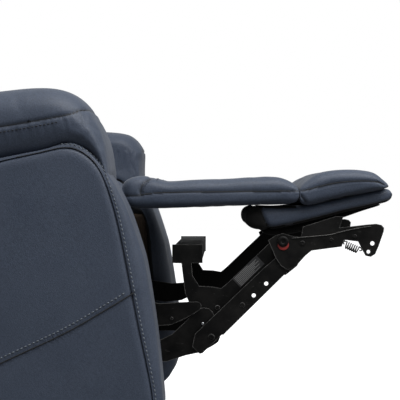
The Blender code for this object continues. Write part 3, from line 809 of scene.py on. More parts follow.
INNER_SEAM = [
    (-0.33, 0.438), (-0.1, 0.44), (0.2, 0.442), (0.315, 0.446), (0.337, 0.435),
    (0.344, 0.37), (0.351, 0.27), (0.354, 0.17), (0.348, 0.125), (0.33, 0.095),
    (0.15, 0.074), (-0.1, 0.074), (-0.32, 0.074), (-0.342, 0.09), (-0.345, 0.25),
    (-0.344, 0.42),
]
DIAGONAL_SEAM = [
    (-0.345, -0.075), (-0.2, 0.012), (-0.03, 0.115), (0.07, 0.172), (0.158, 0.218),
    (0.26, 0.266), (0.33, 0.306), (0.369, 0.3295),
]
INNER_SETBACK = 0.004
SETBACK_FROM = 0.37
ARM_SPINE = ((-0.15, 0.26), (0.2, 0.31))


def toward_spine(points):
    """The nearest points of the arm's middle line, where the rings of its sides end."""
    a, b = np.array(ARM_SPINE[0]), np.array(ARM_SPINE[1])
    d = b - a
    t = np.clip(((points - a) @ d) / (d @ d), 0, 1)
    return a + t[:, None] * d


def running_mean(values, count):
    """The mean of each value and its neighbours, round a closed line."""
    reach = count // 2
    total = sum(np.roll(values, shift, 0) for shift in range(-reach, reach + 1))
    return total / count


def inward_normals(outline, seam_points):
    """Unit vectors across an outline, on the side where its seam is."""
    tangent = np.roll(outline, -1, 0) - np.roll(outline, 1, 0)
    tangent /= np.linalg.norm(tangent, axis=1, keepdims=True)
    inner = np.stack([tangent[:, 1], -tangent[:, 0]], axis=1)
    if np.mean(np.einsum("ij,ij->i", inner, seam_points - outline)) < 0:
        inner = -inner
    return inner


SEAM_DEPTH = 0.0045
SEAM_RING = 10
# Ring where an arm's rounded edge ends; from it to the seam, the inner side takes the painted shade.
SHADED_STRIP_RING = 6
PANEL_RINGS = 44


def panel_flats(seam_points, middle, puff):
    """Side view lines and depths over an arm's puffed panel, from its seam to its middle."""
    reach = np.linalg.norm(middle - seam_points, axis=1, keepdims=True)
    course = (middle - seam_points) / np.maximum(reach, 1e-9)
    for inset, depth in ((0.002, 0.0008), (0.006, -0.001), (0.012, -0.002)):
        yield seam_points + course * inset, depth
    for k in range(1, PANEL_RINGS + 1):
        share = k / PANEL_RINGS
        flat = seam_points + course * (0.012 + (reach - 0.0125) * share)
        yield flat, -0.002 - puff * math.sin(math.pi * 0.5 * share)


def arm_rings(outline, seam, sign, face_x, inward, edge, front_edge, puff):
    """Rings over one side of an arm, from its rounded edge over the seam to its middle."""
    seam_points = line_distance(outline, seam, True)[1]
    seam_points = line_distance(running_mean(seam_points, 15), seam, True)[1]
    seam_points = running_mean(seam_points, 5)
    middle = running_mean(toward_spine(seam_points), 21)
    inner = inward_normals(outline, seam_points)
    strip = np.linalg.norm(seam_points - outline, axis=1)
    facing = np.clip((-inner[:, 0] - 0.55) / 0.35, 0, 1)
    radius = edge + (front_edge - edge) * facing
    radius = running_mean(np.minimum(radius, 0.82 * strip), 9)
    rings = []

    def ring(flat, depth):
        x = face_x - sign * inward * (np.zeros(len(flat)) + depth)
        rings.append(np.stack([x, U_MID - flat[:, 0], flat[:, 1]], axis=1))

    for angle in (0, 15, 30, 45, 60, 75, 90):
        a = math.radians(angle)
        ring(outline + inner * (radius * (1 - math.cos(a)))[:, None], radius * (1 - math.sin(a)))
    start = outline + inner * radius[:, None]
    for share in (0.35, 0.7):
        ring(start + (seam_points - start) * share, -0.0003)
    away = np.linalg.norm(seam_points - start, axis=1, keepdims=True)
    course = (seam_points - start) / np.maximum(away, 1e-9)
    ring(seam_points - course * np.minimum(0.002, away * 0.25), 0.0006)
    ring(seam_points, SEAM_DEPTH)
    for flat, depth in panel_flats(seam_points, middle, puff):
        ring(flat, depth)
    return rings


def front_share(outline):
    """How far each point of an arm's outline faces forward, from 0 to 1."""
    tangent = np.roll(outline, -1, 0) - np.roll(outline, 1, 0)
    tangent /= np.linalg.norm(tangent, axis=1, keepdims=True)
    outward = np.abs(tangent[:, 1]) * (outline[:, 0] > 0.2)
    share = np.clip((outward - 0.35) / 0.5, 0, 1)
    return running_mean(share, 13)


def arm_band(inner_ring, outer_ring, outline, set_back):
    """Rings across the arm's front and top, which ease back towards its inner edge."""
    band = []
    for share in np.linspace(0, 1, 26)[1:-1]:
        x = inner_ring[:, 0] * (1 - share) + outer_ring[:, 0] * share
        span = SETBACK_FROM - np.abs(inner_ring[:, 0])
        t = np.clip((SETBACK_FROM - np.abs(x)) / span, 0, 1)
        flat = outline + (set_back - outline) * (t * t * (3 - 2 * t))[:, None]
        band.append(np.stack([x, U_MID - flat[:, 0], flat[:, 1]], axis=1))
    return band


def build_arm(side, sign):
    """An arm: both sides' rings joined by the band over its front and top."""
    outline = spline(ARM_OUTLINE, 0.0052, closed=True)
    set_back = outline - np.stack([INNER_SETBACK * front_share(outline), np.zeros(len(outline))], axis=1)
    outer_seam = spline(OUTER_SEAM, LINE_STEP, closed=True)
    inner_seam = spline(INNER_SEAM, LINE_STEP, closed=True)
    outer = arm_rings(outline, outer_seam, sign, sign * (ARM_OUTER - 0.0015), 1, 0.006, 0.027, 0.0026)
    inner = arm_rings(set_back, inner_seam, sign, sign * (ARM_INNER + 0.0025), -1, 0.006, 0.038, 0.0006)
    band = arm_band(inner[0], outer[0], outline, set_back)
    rings = list(reversed(inner)) + band + outer
    arm = loft(f"arm_{side}", rings, [LEATHER, INNER_FABRIC, PAINTED_SHADE_BORDER])
    paint_arm_seam_shade(arm, len(outline), len(inner), len(band))
    line_arm(arm, len(outline), len(inner))
    x = np.abs(coords(arm)[:, 0])
    lap(arm, spline(DIAGONAL_SEAM, LINE_STEP), 0.0009, 0.016, x > ARM_OUTER - 0.012)
    ripple(arm, 0.0016, 7.0, 1 if sign > 0 else 2, lambda c: (np.abs(c[:, 0]) > ARM_OUTER - 0.006) * 1.0)
    finish_pad(arm, f"arm_body_{side}", "chassis")
    sew_arm(arm, side, sign)


def paint_arm_seam_shade(arm, count, inner, band):
    """Paints shade on the ring of vertices along the seam on each side of an arm."""
    shade = np.zeros(len(arm.data.vertices), np.float32)
    for ring in (inner - 1 - SEAM_RING, inner + band + SEAM_RING):
        shade[ring * count:(ring + 1) * count] = 0.45
    paint_seam_shade(arm, shade)


def line_arm(arm, count, inner):
    """Gives an arm's inner side its lining, and a near-black leather on the strip before its rounded edge:
    painted shade.
    """
    lined = (inner - 1 - SEAM_RING) * count
    shade_until = (inner - 1 - SHADED_STRIP_RING) * count
    inner_cap = len(arm.data.polygons) - 2
    for index, polygon in enumerate(arm.data.polygons):
        if index < lined or index == inner_cap:
            polygon.material_index = 1
        elif index < shade_until:
            polygon.material_index = 2


def sew_arm(arm, side, sign):
    """Topstitching and seam thread on an arm's outer side."""
    border = offset_line(spline(OUTER_SEAM[4:14], LINE_STEP), 0.0052)
    side_stitches(f"arm_border_stitch_{side}", arm, border, sign, "chassis")
    diagonal = offset_line(spline(DIAGONAL_SEAM[2:], LINE_STEP), 0.0074)[:-3]
    side_stitches(f"arm_diagonal_stitch_{side}", arm, diagonal, sign, "chassis")
    seam_line(f"arm_border_seam_{side}", arm, OUTER_SEAM[1:15], sign, "chassis", -0.0003, 0.0007)
    seam_line(f"arm_diagonal_seam_{side}", arm, DIAGONAL_SEAM[2:], sign, "chassis", 0.0004, 0.001)


# ---------------------------------------------------------------- swept pads

def section(half, thick, top_radius, bottom_radius, spacing, crown):
    """Points round a pad's cross-section: a from -1 to 1 across it, b from 0 at its foot to 1."""
    corners = (
        (half - top_radius, thick - top_radius, top_radius),
        (top_radius - half, thick - top_radius, top_radius),
        (bottom_radius - half, bottom_radius, bottom_radius),
        (half - bottom_radius, bottom_radius, bottom_radius),
    )
    path = [(half, thick / 2)]
    for quarter, (x, z, radius) in enumerate(corners):
        for step in range(7):
            angle = math.radians(90 * quarter + 15 * step)
            path.append((x + radius * math.cos(angle), z + radius * math.sin(angle)))
    points = resample(path, spacing, closed=True)
    points[:, 1] -= crown * (points[:, 0] / half) ** 2 * points[:, 1] / thick
    return points / (half, thick)


def evenly(points, count):
    """A smooth curve through the points, as a given count of evenly spaced points."""
    line = spline(points, 0.002)
    length = lengths_along(line)
    at = np.linspace(0, length[-1], count)
    return np.stack([np.interp(at, length, line[:, k]) for k in range(2)], axis=1)


def swept_pad(name, top, bottom, shape, width, stations, flat_end=False, sag=None):
    """A pad swept along its side view; width(u, b) gives its lowest and highest x."""
    tops, bottoms = evenly(top, stations), evenly(bottom, stations)
    rings = []
    last = stations if flat_end else stations - 1
    for t, b in zip(tops[1:last], bottoms[1:last]):
        flat = b + (t - b) * shape[:, 1:2]
        if sag is not None:
            flat[:, 1] -= sag(flat[:, 0], shape[:, 0], shape[:, 1])
        low, high = width(flat[:, 0], shape[:, 1])
        x = low + (high - low) * (shape[:, 0] + 1) / 2
        rings.append(np.stack([x, U_MID - flat[:, 0], flat[:, 1]], axis=1))
    count = len(shape)
    faces = ring_faces(len(rings), count)
    for base in (0, (len(rings) - 1) * count):
        for k in range((count - 1) // 2):
            a, b, c, d = k, (k + 1) % count, count - 1 - k, (count - k) % count
            corners = list(dict.fromkeys((a, b, c, d)))
            if len(corners) > 2:
                faces.append(tuple(base + corner for corner in corners))
    return mesh_object(name, np.vstack(rings), faces, LEATHER)


# Arm pillows in side view. The left one is lower and blunter at its nose.
PILLOW_BACK = [(-0.35, 0.51), (-0.3505, 0.535), (-0.349, 0.565), (-0.337, 0.592),
               (-0.3, 0.6075), (-0.1, 0.6305)]
PILLOW_UNDER = [(-0.35, 0.51), (-0.35, 0.485), (-0.348, 0.466), (-0.335, 0.459),
                (-0.3, 0.4625), (-0.1, 0.4895), (0.06, 0.5205), (0.158, 0.541), (0.222, 0.553),
                (0.255, 0.5625), (0.274, 0.564), (0.293, 0.5548), (0.308, 0.539), (0.318, 0.522),
                (0.3262, 0.503)]
PILLOWS = {
    "right": {
        "top": PILLOW_BACK + [(0.15, 0.654), (0.22, 0.659), (0.25, 0.656), (0.27, 0.6475),
                              (0.2875, 0.633), (0.303, 0.6105), (0.316, 0.586), (0.3232, 0.561),
                              (0.3262, 0.538), (0.3275, 0.522), (0.3262, 0.503)],
        "seam": [(-0.352, 0.528), (-0.2, 0.544), (0.0, 0.567), (0.158, 0.591), (0.23, 0.6035),
                 (0.268, 0.611), (0.2836, 0.618), (0.3, 0.62), (0.32, 0.62)],
    },
    "left": {
        "top": PILLOW_BACK + [(0.1, 0.643), (0.18, 0.641), (0.24, 0.6315), (0.274, 0.6285),
                              (0.299, 0.6235), (0.315, 0.6125), (0.324, 0.6), (0.3306, 0.587),
                              (0.329, 0.57), (0.328, 0.545), (0.328, 0.525), (0.3262, 0.503)],
        "seam": [(-0.352, 0.528), (-0.2, 0.544), (0.0, 0.565), (0.158, 0.583), (0.23, 0.588),
                 (0.28, 0.588), (0.31, 0.587), (0.34, 0.587)],
    },
}
PILLOW_HALF = 0.0915
PILLOW_TUCK = 0.015
NOSE_LENGTH = 0.08
INNER_HANG = 0.05


def outline_at(line, u):
    """Heights of a side view line at some u."""
    p = np.array(line)
    return np.interp(u, p[:, 0], p[:, 1])


def start_pillow(side, sign):
    """An arm pillow, tucked in along its outer foot and narrower at its nose."""
    low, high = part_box(f"arm_pad_{side}")
    middle = (low.x + high.x) / 2
    shape = section(PILLOW_HALF, 0.11, 0.036, 0.01, 0.006, 0.01)

    def width(u, b):
        nose = np.clip((u - 0.335 + NOSE_LENGTH) / NOSE_LENGTH, 0, 1) ** 2.2
        rear = np.clip((-0.325 - u) / 0.028, 0, 1) ** 2
        tuck = PILLOW_TUCK * np.clip(1 - b / 0.45, 0, 1) ** 1.4
        inner = PILLOW_HALF - 0.016 * nose - 0.01 * rear
        outer = PILLOW_HALF - 0.012 * nose - 0.01 * rear - tuck
        return (middle - (inner if sign > 0 else outer), middle + (outer if sign > 0 else inner))

    def sag(u, a, b):
        """The inner side panel hangs over the arm's inner edge."""
        hang = np.clip((-a * sign - 0.86) / 0.1, 0, 1) * np.clip(1 - b / 0.6, 0, 1)
        return INNER_HANG * hang * np.clip((u + 0.3) / 0.1, 0, 1) * np.clip((0.33 - u) / 0.03, 0, 1)

    return swept_pad(f"arm_pillow_{side}", PILLOWS[side]["top"], PILLOW_UNDER, shape, width, 128, sag=sag)


def finish_pillow(item, side, sign):
    """Sews and stitches an arm pillow along its side and round its nose."""
    finer(item)
    middle = np.mean([corner.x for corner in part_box(f"arm_pad_{side}")])
    seam = spline(PILLOWS[side]["seam"], LINE_STEP)
    lateral = (coords(item)[:, 0] - middle) * sign / PILLOW_HALF
    normal = normals(item)
    sewn = ((lateral > -0.55) & (normal[:, 1] < -0.3)) | ((lateral > 0.3) & (np.abs(normal[:, 0]) > 0.3))
    sewn = sewn | (normal[:, 1] > 0.5)
    sew(item, seam, 0.0024, 0.0026, 0.0016, lambda c: sewn)
    gather(item, seam, 0.0012, 0.02)
    ripple(item, 0.0018, 11.0, 5 if sign > 0 else 6)
    finish_pad(item, f"arm_pad_{side}", "chassis")
    shown = [p for p in PILLOWS[side]["seam"] if -0.35 < p[0] < 0.305]
    seam_line(f"arm_pillow_seam_{side}", item, shown, sign, "chassis", -0.0001, 0.0006)
    row = [point for point in offset_line(seam, -0.0085) if point[0] < 0.255]
    hits, facing = cast(tree_of(item), [world(u, z, middle) for u, z in row], (-sign, 0, 0), 0.3)
    stitches(f"arm_pillow_stitch_{side}", hits, facing, "chassis", material=THREAD_DARK,
             pitch=0.0064, length=0.0042, radius=0.0007)


def gather(item, line, amount, reach):
    """Short wrinkles that run away from a seam, below it."""
    flat = side_view(coords(item))
    dist, nearest = line_distance(flat, line)
    below = flat[:, 1] < nearest[:, 1]
    s = nearest[:, 0]
    wave = np.sin(s * 410 + 1.3 * np.sin(s * 97)) * np.sin(s * 173 + 0.7)
    fade = np.exp(-(dist / reach) ** 2) * (dist > 0.003) * below
    push(item, amount * wave * fade)


# ---------------------------------------------------------------- footrest pads

CHAISE_TOP = [(0.3325, 0.488), (0.3322, 0.5), (0.3355, 0.5095), (0.344, 0.515), (0.3584, 0.5185),
              (0.374, 0.5184), (0.3905, 0.515), (0.406, 0.5112), (0.423, 0.5098), (0.48, 0.5128),
              (0.549, 0.5165), (0.601, 0.5175), (0.618, 0.5145), (0.6305, 0.5088), (0.64, 0.5015),
              (0.6436, 0.496)]
CHAISE_BOTTOM = [(0.3325, 0.488), (0.3345, 0.475), (0.342, 0.4655), (0.383, 0.462), (0.5, 0.465),
                 (0.575, 0.468), (0.625, 0.4695), (0.64, 0.472), (0.6436, 0.477)]
CHAISE_SEAM = [(0.33, 0.482), (0.367, 0.4847), (0.409, 0.489), (0.549, 0.4908), (0.627, 0.4917),
               (0.65, 0.4925)]
CHAISE_BREAK = [(0.388, 0.517), (0.379, 0.5125), (0.3715, 0.5055), (0.3672, 0.496), (0.3665, 0.485)]
CHAISE_HALF = 0.259
PAD_TOP = [(0.8025, 0.4995), (0.801, 0.5035), (0.7932, 0.5095), (0.7867, 0.5155), (0.7807, 0.5205),
           (0.7711, 0.5253), (0.75, 0.5295), (0.7333, 0.5308), (0.713, 0.5305), (0.6925, 0.5278),
           (0.6737, 0.5222), (0.6547, 0.509), (0.647, 0.5015), (0.6442, 0.496)]
PAD_BOTTOM = [(0.8025, 0.4995), (0.7975, 0.4968), (0.7291, 0.483), (0.69, 0.474), (0.662, 0.4685),
              (0.649, 0.4695), (0.6442, 0.476)]
PAD_SEAM = [(0.64, 0.492), (0.655, 0.4935), (0.683, 0.5007), (0.7115, 0.5065), (0.749, 0.5093),
            (0.7776, 0.5075), (0.792, 0.503), (0.806, 0.4985)]
BOARD_TOP = [(0.5495, 0.444), (0.552, 0.4545), (0.56, 0.462), (0.575, 0.4652), (0.62, 0.464),
             (0.6554, 0.4672), (0.7, 0.476), (0.75, 0.4868), (0.79, 0.4955), (0.805, 0.4955),
             (0.8115, 0.487)]
BOARD_BOTTOM = [(0.5495, 0.444), (0.5525, 0.433), (0.562, 0.426), (0.5819, 0.4235), (0.617, 0.4275),
                (0.697, 0.4465), (0.729, 0.455), (0.79, 0.469), (0.805, 0.4735), (0.8108, 0.48),
                (0.8115, 0.487)]
BOARD_HALF = 0.2385


def corner_width(half, ends, amount):
    """Half width of a pad whose corners, seen from above, are rounded at the given ends."""
    def width(u, b):
        inset = np.zeros(len(u))
        for end, reach in ends:
            inset += amount * np.clip(1 - np.abs(u - end) / reach, 0, 1) ** 2.2
        return -(half - inset), half - inset
    return width


def start_footrest():
    thick = 0.05
    shape = section(CHAISE_HALF, thick, 0.017, 0.012, 0.0066, 0.0015)
    chaise = swept_pad("chaise", CHAISE_TOP, CHAISE_BOTTOM, shape,
                       corner_width(CHAISE_HALF, ((0.335, 0.02),), 0.01), 62, flat_end=True)
    pad = swept_pad("footrest_pad", PAD_TOP, PAD_BOTTOM, shape,
                    corner_width(CHAISE_HALF, ((0.799, 0.026),), 0.012), 38, flat_end=True)
    edge = section(BOARD_HALF, 0.034, 0.012, 0.014, 0.006, 0.0)
    board = swept_pad("footrest_board", BOARD_TOP, BOARD_BOTTOM, edge,
                      corner_width(BOARD_HALF, ((0.549, 0.022), (0.807, 0.022)), 0.01), 56)
    return chaise, pad, board


def side_faces(item, limit=0.45):
    """A mask of the vertices on a pad's two sides."""
    normal = normals(item)
    return lambda c: np.abs(normal[:, 0]) > limit


def top_row(name, target, u, half, body, **options):
    """Stitching across the top of a pad at one u."""
    points = [world(u, 0.9, x) for x in np.arange(-half, half, 0.003)]
    hits, facing = cast(tree_of(target), points, (0, 0, -1), 0.3)
    return stitches(name, hits, facing, body, **options)


def finish_chaise(item):
    """Sews the chaise pad, and gives the pad and its thread meshes of their own."""
    finer(item)
    sew(item, spline(CHAISE_SEAM, LINE_STEP), 0.0016, 0.0022, 0.0016, side_faces(item))
    top = coords(item)[:, 2] > 0.486
    sew(item, spline(CHAISE_BREAK, FINE_STEP), 0.004, 0.003, 0.0016, lambda c: top)
    ripple(item, 0.0014, 16.0, 9)
    finish_pad(item, "chaise_pad", "chaise")
    fine = dict(material=THREAD_DARK, pitch=0.0048, length=0.0032, radius=0.0005)
    sewn = [item, top_row("chaise_break_stitch", item, 0.3945, 0.25, "chaise", **fine)]
    for side, sign in SIDES:
        row = offset_line(spline(CHAISE_BREAK[1:], FINE_STEP), 0.005)
        sewn.append(side_stitches(f"chaise_side_stitch_{side}", item, row, sign, "chaise", **fine))
        sewn.append(seam_line(f"chaise_seam_{side}", item, CHAISE_SEAM[1:-1], sign, "chaise"))
    for piece in sewn:
        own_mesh(piece)


def finish_footrest_pad(item):
    finer(item)
    sew(item, spline(PAD_SEAM, LINE_STEP), 0.0016, 0.0022, 0.0016, side_faces(item))
    fold = [(0.644, 0.484), (0.65, 0.478), (0.654, 0.472), (0.656, 0.466)]
    sew(item, spline(fold, FINE_STEP), 0.003, 0.003, 0.0, side_faces(item))
    ripple(item, 0.0014, 16.0, 12)
    finish_pad(item, "ottoman_pad", "ottoman")
    for side, sign in SIDES:
        seam_line(f"footrest_pad_seam_{side}", item, PAD_SEAM[1:-1], sign, "ottoman")


def finish_board(item):
    """The upholstered board: leather on its edge and toe, black cloth on its heel and underside."""
    finer(item)
    item.data.materials.append(UNDER_FABRIC)
    heel = [(0.5765, 0.47), (0.579, 0.454), (0.586, 0.437), (0.595, 0.418)]
    sew(item, spline(heel, FINE_STEP), 0.0032, 0.0035, 0.0018)
    under = [(0.584, 0.4262), (0.617, 0.4305), (0.697, 0.4498), (0.729, 0.4583), (0.79, 0.4715),
             (0.81, 0.477)]
    sew(item, spline(under, FINE_STEP), 0.0016, 0.0025, 0.0016, side_faces(item, 0.3))
    centres = np.array([tuple(polygon.center) for polygon in item.data.polygons])
    faces = np.array([tuple(polygon.normal) for polygon in item.data.polygons])
    flat = side_view(centres)
    heel_u = np.interp(-flat[:, 1], [-z for _, z in heel], [u for u, _ in heel])
    black = flat[:, 0] < heel_u
    black |= flat[:, 1] < outline_at(under, flat[:, 0])
    black |= (faces[:, 2] > 0.75) & (flat[:, 0] < 0.64)
    for polygon, dark in zip(item.data.polygons, black):
        polygon.material_index = int(dark)
    ripple(item, 0.0007, 18.0, 15)
    finish_pad(item, "ottoman_board", "ottoman")


COVER_TOP = [(0.578, 0.4225), (0.617, 0.4272), (0.697, 0.4462), (0.729, 0.4547), (0.79, 0.4687),
             (0.796, 0.47)]
COVER_BOTTOM = [(0.578, 0.4225), (0.586, 0.415), (0.61, 0.413), (0.65, 0.4195), (0.697, 0.435),
                (0.74, 0.45), (0.79, 0.466), (0.796, 0.47)]
COVER_HALF = 0.216


def build_dust_cover():
    """Black cloth stapled under the footrest board, slack in its middle."""
    shape = section(COVER_HALF, 0.012, 0.004, 0.004, 0.008, 0.0)
    item = swept_pad("footrest_dust_cover", COVER_TOP, COVER_BOTTOM, shape,
                     corner_width(COVER_HALF, ((0.578, 0.02), (0.796, 0.02)), 0.008), 40)
    item.data.materials.clear()
    item.data.materials.append(UNDER_FABRIC)
    finer(item)
    ripple(item, 0.0012, 22.0, 21)
    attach(item, "ottoman")


# ---------------------------------------------------------------- mechanism finish

RIVETS = (
    # name, (u, z), face x, radius, height, body
    ("drive_upper", (0.5005, 0.285), 0.224, 0.0045, 0.0008, "carrier_links"),
    ("strut", (0.4196, 0.2668), 0.2346, 0.003, 0.0007, "strut_links"),
    ("parallel_low", (0.4897, 0.2343), 0.2396, 0.0058, 0.0012, "parallel_links"),
    ("parallel_mid", (0.5443, 0.2907), 0.2396, 0.005, 0.001, "parallel_links"),
    ("parallel_hole", (0.4745, 0.257), 0.23, 0.0026, 0.0006, "drive_links"),
    ("bracket_front", (0.65, 0.4), 0.2436, 0.0048, 0.0016, "ottoman"),
    ("bracket_mid", (0.701, 0.406), 0.2436, 0.0036, 0.0014, "ottoman"),
    ("bracket_end", (0.742, 0.412), 0.2436, 0.0036, 0.0014, "ottoman"),
)
BUSHING_X = 0.2438
SPRING_ENDS = ((0.723, 0.3985), (0.749, 0.3875))
SPRING_X = 0.251
SPRING_RADIUS = 0.0058
SPRING_WIRE = 0.00115
SPRING_TURNS = 6
HOOK_RADIUS = 0.0027
HOOK_REACH = 0.0035
LABEL_AT = (0.5555, 0.349)
LABEL_SIZE = (0.06, 0.021)
LABEL_TURN = math.radians(44.5)
LABEL_BARS = (0.55, 0.86, 0.78, 0.88, 0.7, 0.84, 0.6, 0.8)


def turned(name, profile, at, sign, material, body, sides=28):
    """A turned piece on an axis across the chair; the profile holds (height, radius)."""
    u, z, x = at
    rings = []
    for height, radius in profile:
        angle = np.linspace(0, 2 * math.pi, sides, endpoint=False)
        y = U_MID - u + radius * np.cos(angle)
        rings.append(np.stack([np.full(sides, sign * (x + height)), y, z + radius * np.sin(angle)], axis=1))
    item = loft(name, rings, material)
    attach(item, body)
    return item


def rivet_heads():
    """Flat domed heads with a dimple, on the outer faces of the links."""
    for name, (u, z), x, radius, height, body in RIVETS:
        material = STEEL if name == "parallel_hole" else COAT
        profile = [(-0.0003, radius), (0.25 * height, radius), (0.75 * height, 0.86 * radius),
                   (height, 0.62 * radius), (height, 0.4 * radius), (0.7 * height, 0.22 * radius)]
        for side, sign in SIDES:
            item = turned(f"rivet_{name}_{side}", profile, (u, z, x), sign, material, body)


def pivot_bushings():
    """The red flange of the footrest's main bushing, half under the bolt's head."""
    u, z = OTTOMAN_PIVOT
    flange = [(0.0, 0.006), (0.0, 0.0094), (0.0004, 0.0098), (0.0012, 0.0098), (0.0016, 0.0092),
              (0.0016, 0.006)]
    head = [(0.0004, 0.0098), (0.0026, 0.0098), (0.0036, 0.009), (0.004, 0.006), (0.004, 0.0034),
            (0.003, 0.0028)]
    for side, sign in SIDES:
        low, high = (u + 0.0005, z - 0.0052, BUSHING_X), (u, z + 0.0005, BUSHING_X)
        bushing = turned(f"bushing_flange_{side}", flange, low, sign, RED, "carrier_links")
        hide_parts(f"pivot_bushing_{side}")
        bolt = turned(f"pivot_bolt_{side}", head, high, sign, COAT, "carrier_links")


def spring_hook(end, outward, up, angle):
    """A point on the half loop at a spring's end."""
    return end + outward * HOOK_REACH * math.sin(angle) + up * HOOK_RADIUS * (1 + math.cos(angle))


def coil_springs():
    """Tension springs wound from wire, with a hook at each end."""
    (u0, z0), (u1, z1) = SPRING_ENDS
    for side, sign in SIDES:
        start, end = world(u0, z0, sign * SPRING_X), world(u1, z1, sign * SPRING_X)
        axis = (end - start).normalized()
        across = Vector((1, 0, 0))
        up = axis.cross(across)
        turns = [math.pi * k / 6 for k in range(7)]
        path = [spring_hook(start, -axis, up, a) for a in reversed(turns)]
        steps = SPRING_TURNS * 16
        for k in range(steps + 1):
            a = 2 * math.pi * k / 16
            centre = start.lerp(end, 0.1 + 0.8 * k / steps)
            path.append(centre + (across * math.sin(a) + up * math.cos(a)) * SPRING_RADIUS)
        path += [spring_hook(end, axis, up, a) for a in turns]
        item = tube(f"tension_spring_{side}", path, SPRING_WIRE, SPRING_STEEL, "ottoman")
        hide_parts(f"ottoman_spring_{side}")


def plate_box(name, at, size, x, depth, sign, material):
    """A thin plate with chamfered edges on a carrier link's outer face, turned in side view."""
    half_u, half_z = size[0] / 2, size[1] / 2
    c, s = math.cos(LABEL_TURN), math.sin(LABEL_TURN)
    rings = []
    for height, inset in ((0.0, 0.0), (depth * 0.7, 0.0), (depth, 0.0003)):
        corners = ((half_u, half_z), (-half_u, half_z), (-half_u, -half_z), (half_u, -half_z))
        ring = []
        for a, b in corners:
            a -= math.copysign(inset, a)
            b -= math.copysign(inset, b)
            ring.append(world(at[0] + a * c - b * s, at[1] + a * s + b * c, sign * (x + height)))
        rings.append(np.array([tuple(v) for v in ring]))
    item = loft(name, rings, material)
    item.data.shade_flat()
    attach(item, "carrier_links")
    return item


def rating_labels():
    """A plain data plate with bars where print would be."""
    c, s = math.cos(LABEL_TURN), math.sin(LABEL_TURN)
    for side, sign in SIDES:
        plate = plate_box(f"data_plate_{side}", LABEL_AT, LABEL_SIZE, 0.2236, 0.0004, sign, LABEL)
        for row, share in enumerate(LABEL_BARS):
            length = LABEL_SIZE[0] * share
            a = -0.45 * LABEL_SIZE[0] + length / 2
            b = LABEL_SIZE[1] * (0.4 - 0.115 * row)
            at = (LABEL_AT[0] + a * c - b * s, LABEL_AT[1] + a * s + b * c)
            bar = plate_box(f"data_plate_bar_{row + 1}_{side}", at, (length, 0.0008), 0.224, 0.00012, sign,
                            LABEL_INK)


BRACKET_LIP = [(0.6312, 0.4089), (0.65, 0.4105), (0.697, 0.415), (0.715, 0.4195), (0.745, 0.426),
               (0.77, 0.43)]
LIP_X = 0.2434
LIP_SECTION = ((0, -0.0007), (0.0016, -0.0007), (0.0022, 0), (0.0016, 0.0007), (0, 0.0007))


def bracket_lips():
    """The folded upper edge of each footrest bracket, in a lighter coat: rubbed wear and a painted
    highlight.
    """
    for side, sign in SIDES:
        rings = []
        for u, z in spline(BRACKET_LIP, LINE_STEP):
            rings.append(np.array([(sign * (LIP_X + a), U_MID - u, z + b) for a, b in LIP_SECTION]))
        item = loft(f"bracket_lip_{side}", rings, WORN_HIGHLIT_COAT)
        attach(item, "ottoman")


def finish_cad_nodes():
    """Gives each CAD node that stays in view its material and small edge radii."""
    for name, item in NODES.items():
        if item.hide_render:
            continue
        if "motor" in name or name == "power_supply_box":
            material, radius = PLASTIC, 0.0015
        elif name.endswith("_rod"):
            material, radius = STEEL, 0.0006
        elif "foot_" in name and name.startswith("base"):
            material, radius = RUBBER, 0.0008
        elif name == "control_panel":
            material, radius = GREY_PLASTIC, 0.0006
        elif name.startswith("control_button"):
            material, radius = PLASTIC, 0.0005
        elif name == "spring_deck":
            material, radius = UNDER_FABRIC, 0.002
        else:
            material, radius = COAT, 0.0007
        item.data.materials.clear()
        item.data.materials.append(material)
        add_modifier(item, "BEVEL", width=radius, segments=2, limit_method="ANGLE",
                     angle_limit=math.radians(40))


# ---------------------------------------------------------------- seat and back details

SEAT_PANEL = ((0.0, 0.06), (0.19, 0.23), 0.05)
SEAT_CHANNEL = 0.02
LUMBAR_PANEL = ((0.0, 0.58), (0.18, 0.128), 0.04)
HEAD_PANEL = ((0.0, 0.9), (0.205, 0.14), 0.055)
SHELL_PANEL = ((0.0, 0.715), (0.245, 0.27), 0.04)
UNDERCUT = 0.02
SEAT_REAR_REACH = 0.03
LUMBAR_FOOT_REACH = 0.014


def panel_distance(a, b, panel):
    """How far each point is outside a rounded rectangle's outline, less than zero inside."""
    (ca, cb), (half_a, half_b), radius = panel
    da = np.abs(a - ca) - half_a + radius
    db = np.abs(b - cb) - half_b + radius
    corner = np.hypot(np.maximum(da, 0), np.maximum(db, 0))
    return corner + np.minimum(np.maximum(da, db), 0) - radius


def panel_loop(panel, grow):
    """The outline of a rounded rectangle, grown or shrunk, as a closed line."""
    (ca, cb), (half_a, half_b), radius = panel
    points = []
    for turn, (sa, sb) in enumerate(((1, 1), (-1, 1), (-1, -1), (1, -1))):
        for k in range(9):
            angle = math.pi / 2 * (turn + k / 8)
            points.append((ca + sa * (half_a - radius) + (radius + grow) * math.cos(angle),
                           cb + sb * (half_b - radius) + (radius + grow) * math.sin(angle)))
    points.append(points[0])
    return resample(points, LINE_STEP)


def groove(item, distance, depth, width, where):
    """Pulls a sewn line into a cushion, where the distance from it is small, and paints shade along it."""
    push(item, -depth * np.exp(-np.abs(distance) / width) * where)
    paint_seam_shade(item, np.exp(-(distance / (0.3 * width)) ** 2) * where)


def facing_share(item, direction):
    """One where a surface faces a direction, easing to nothing where it turns away."""
    return np.clip((normals(item) @ np.array(direction) - 0.25) / 0.35, 0, 1)


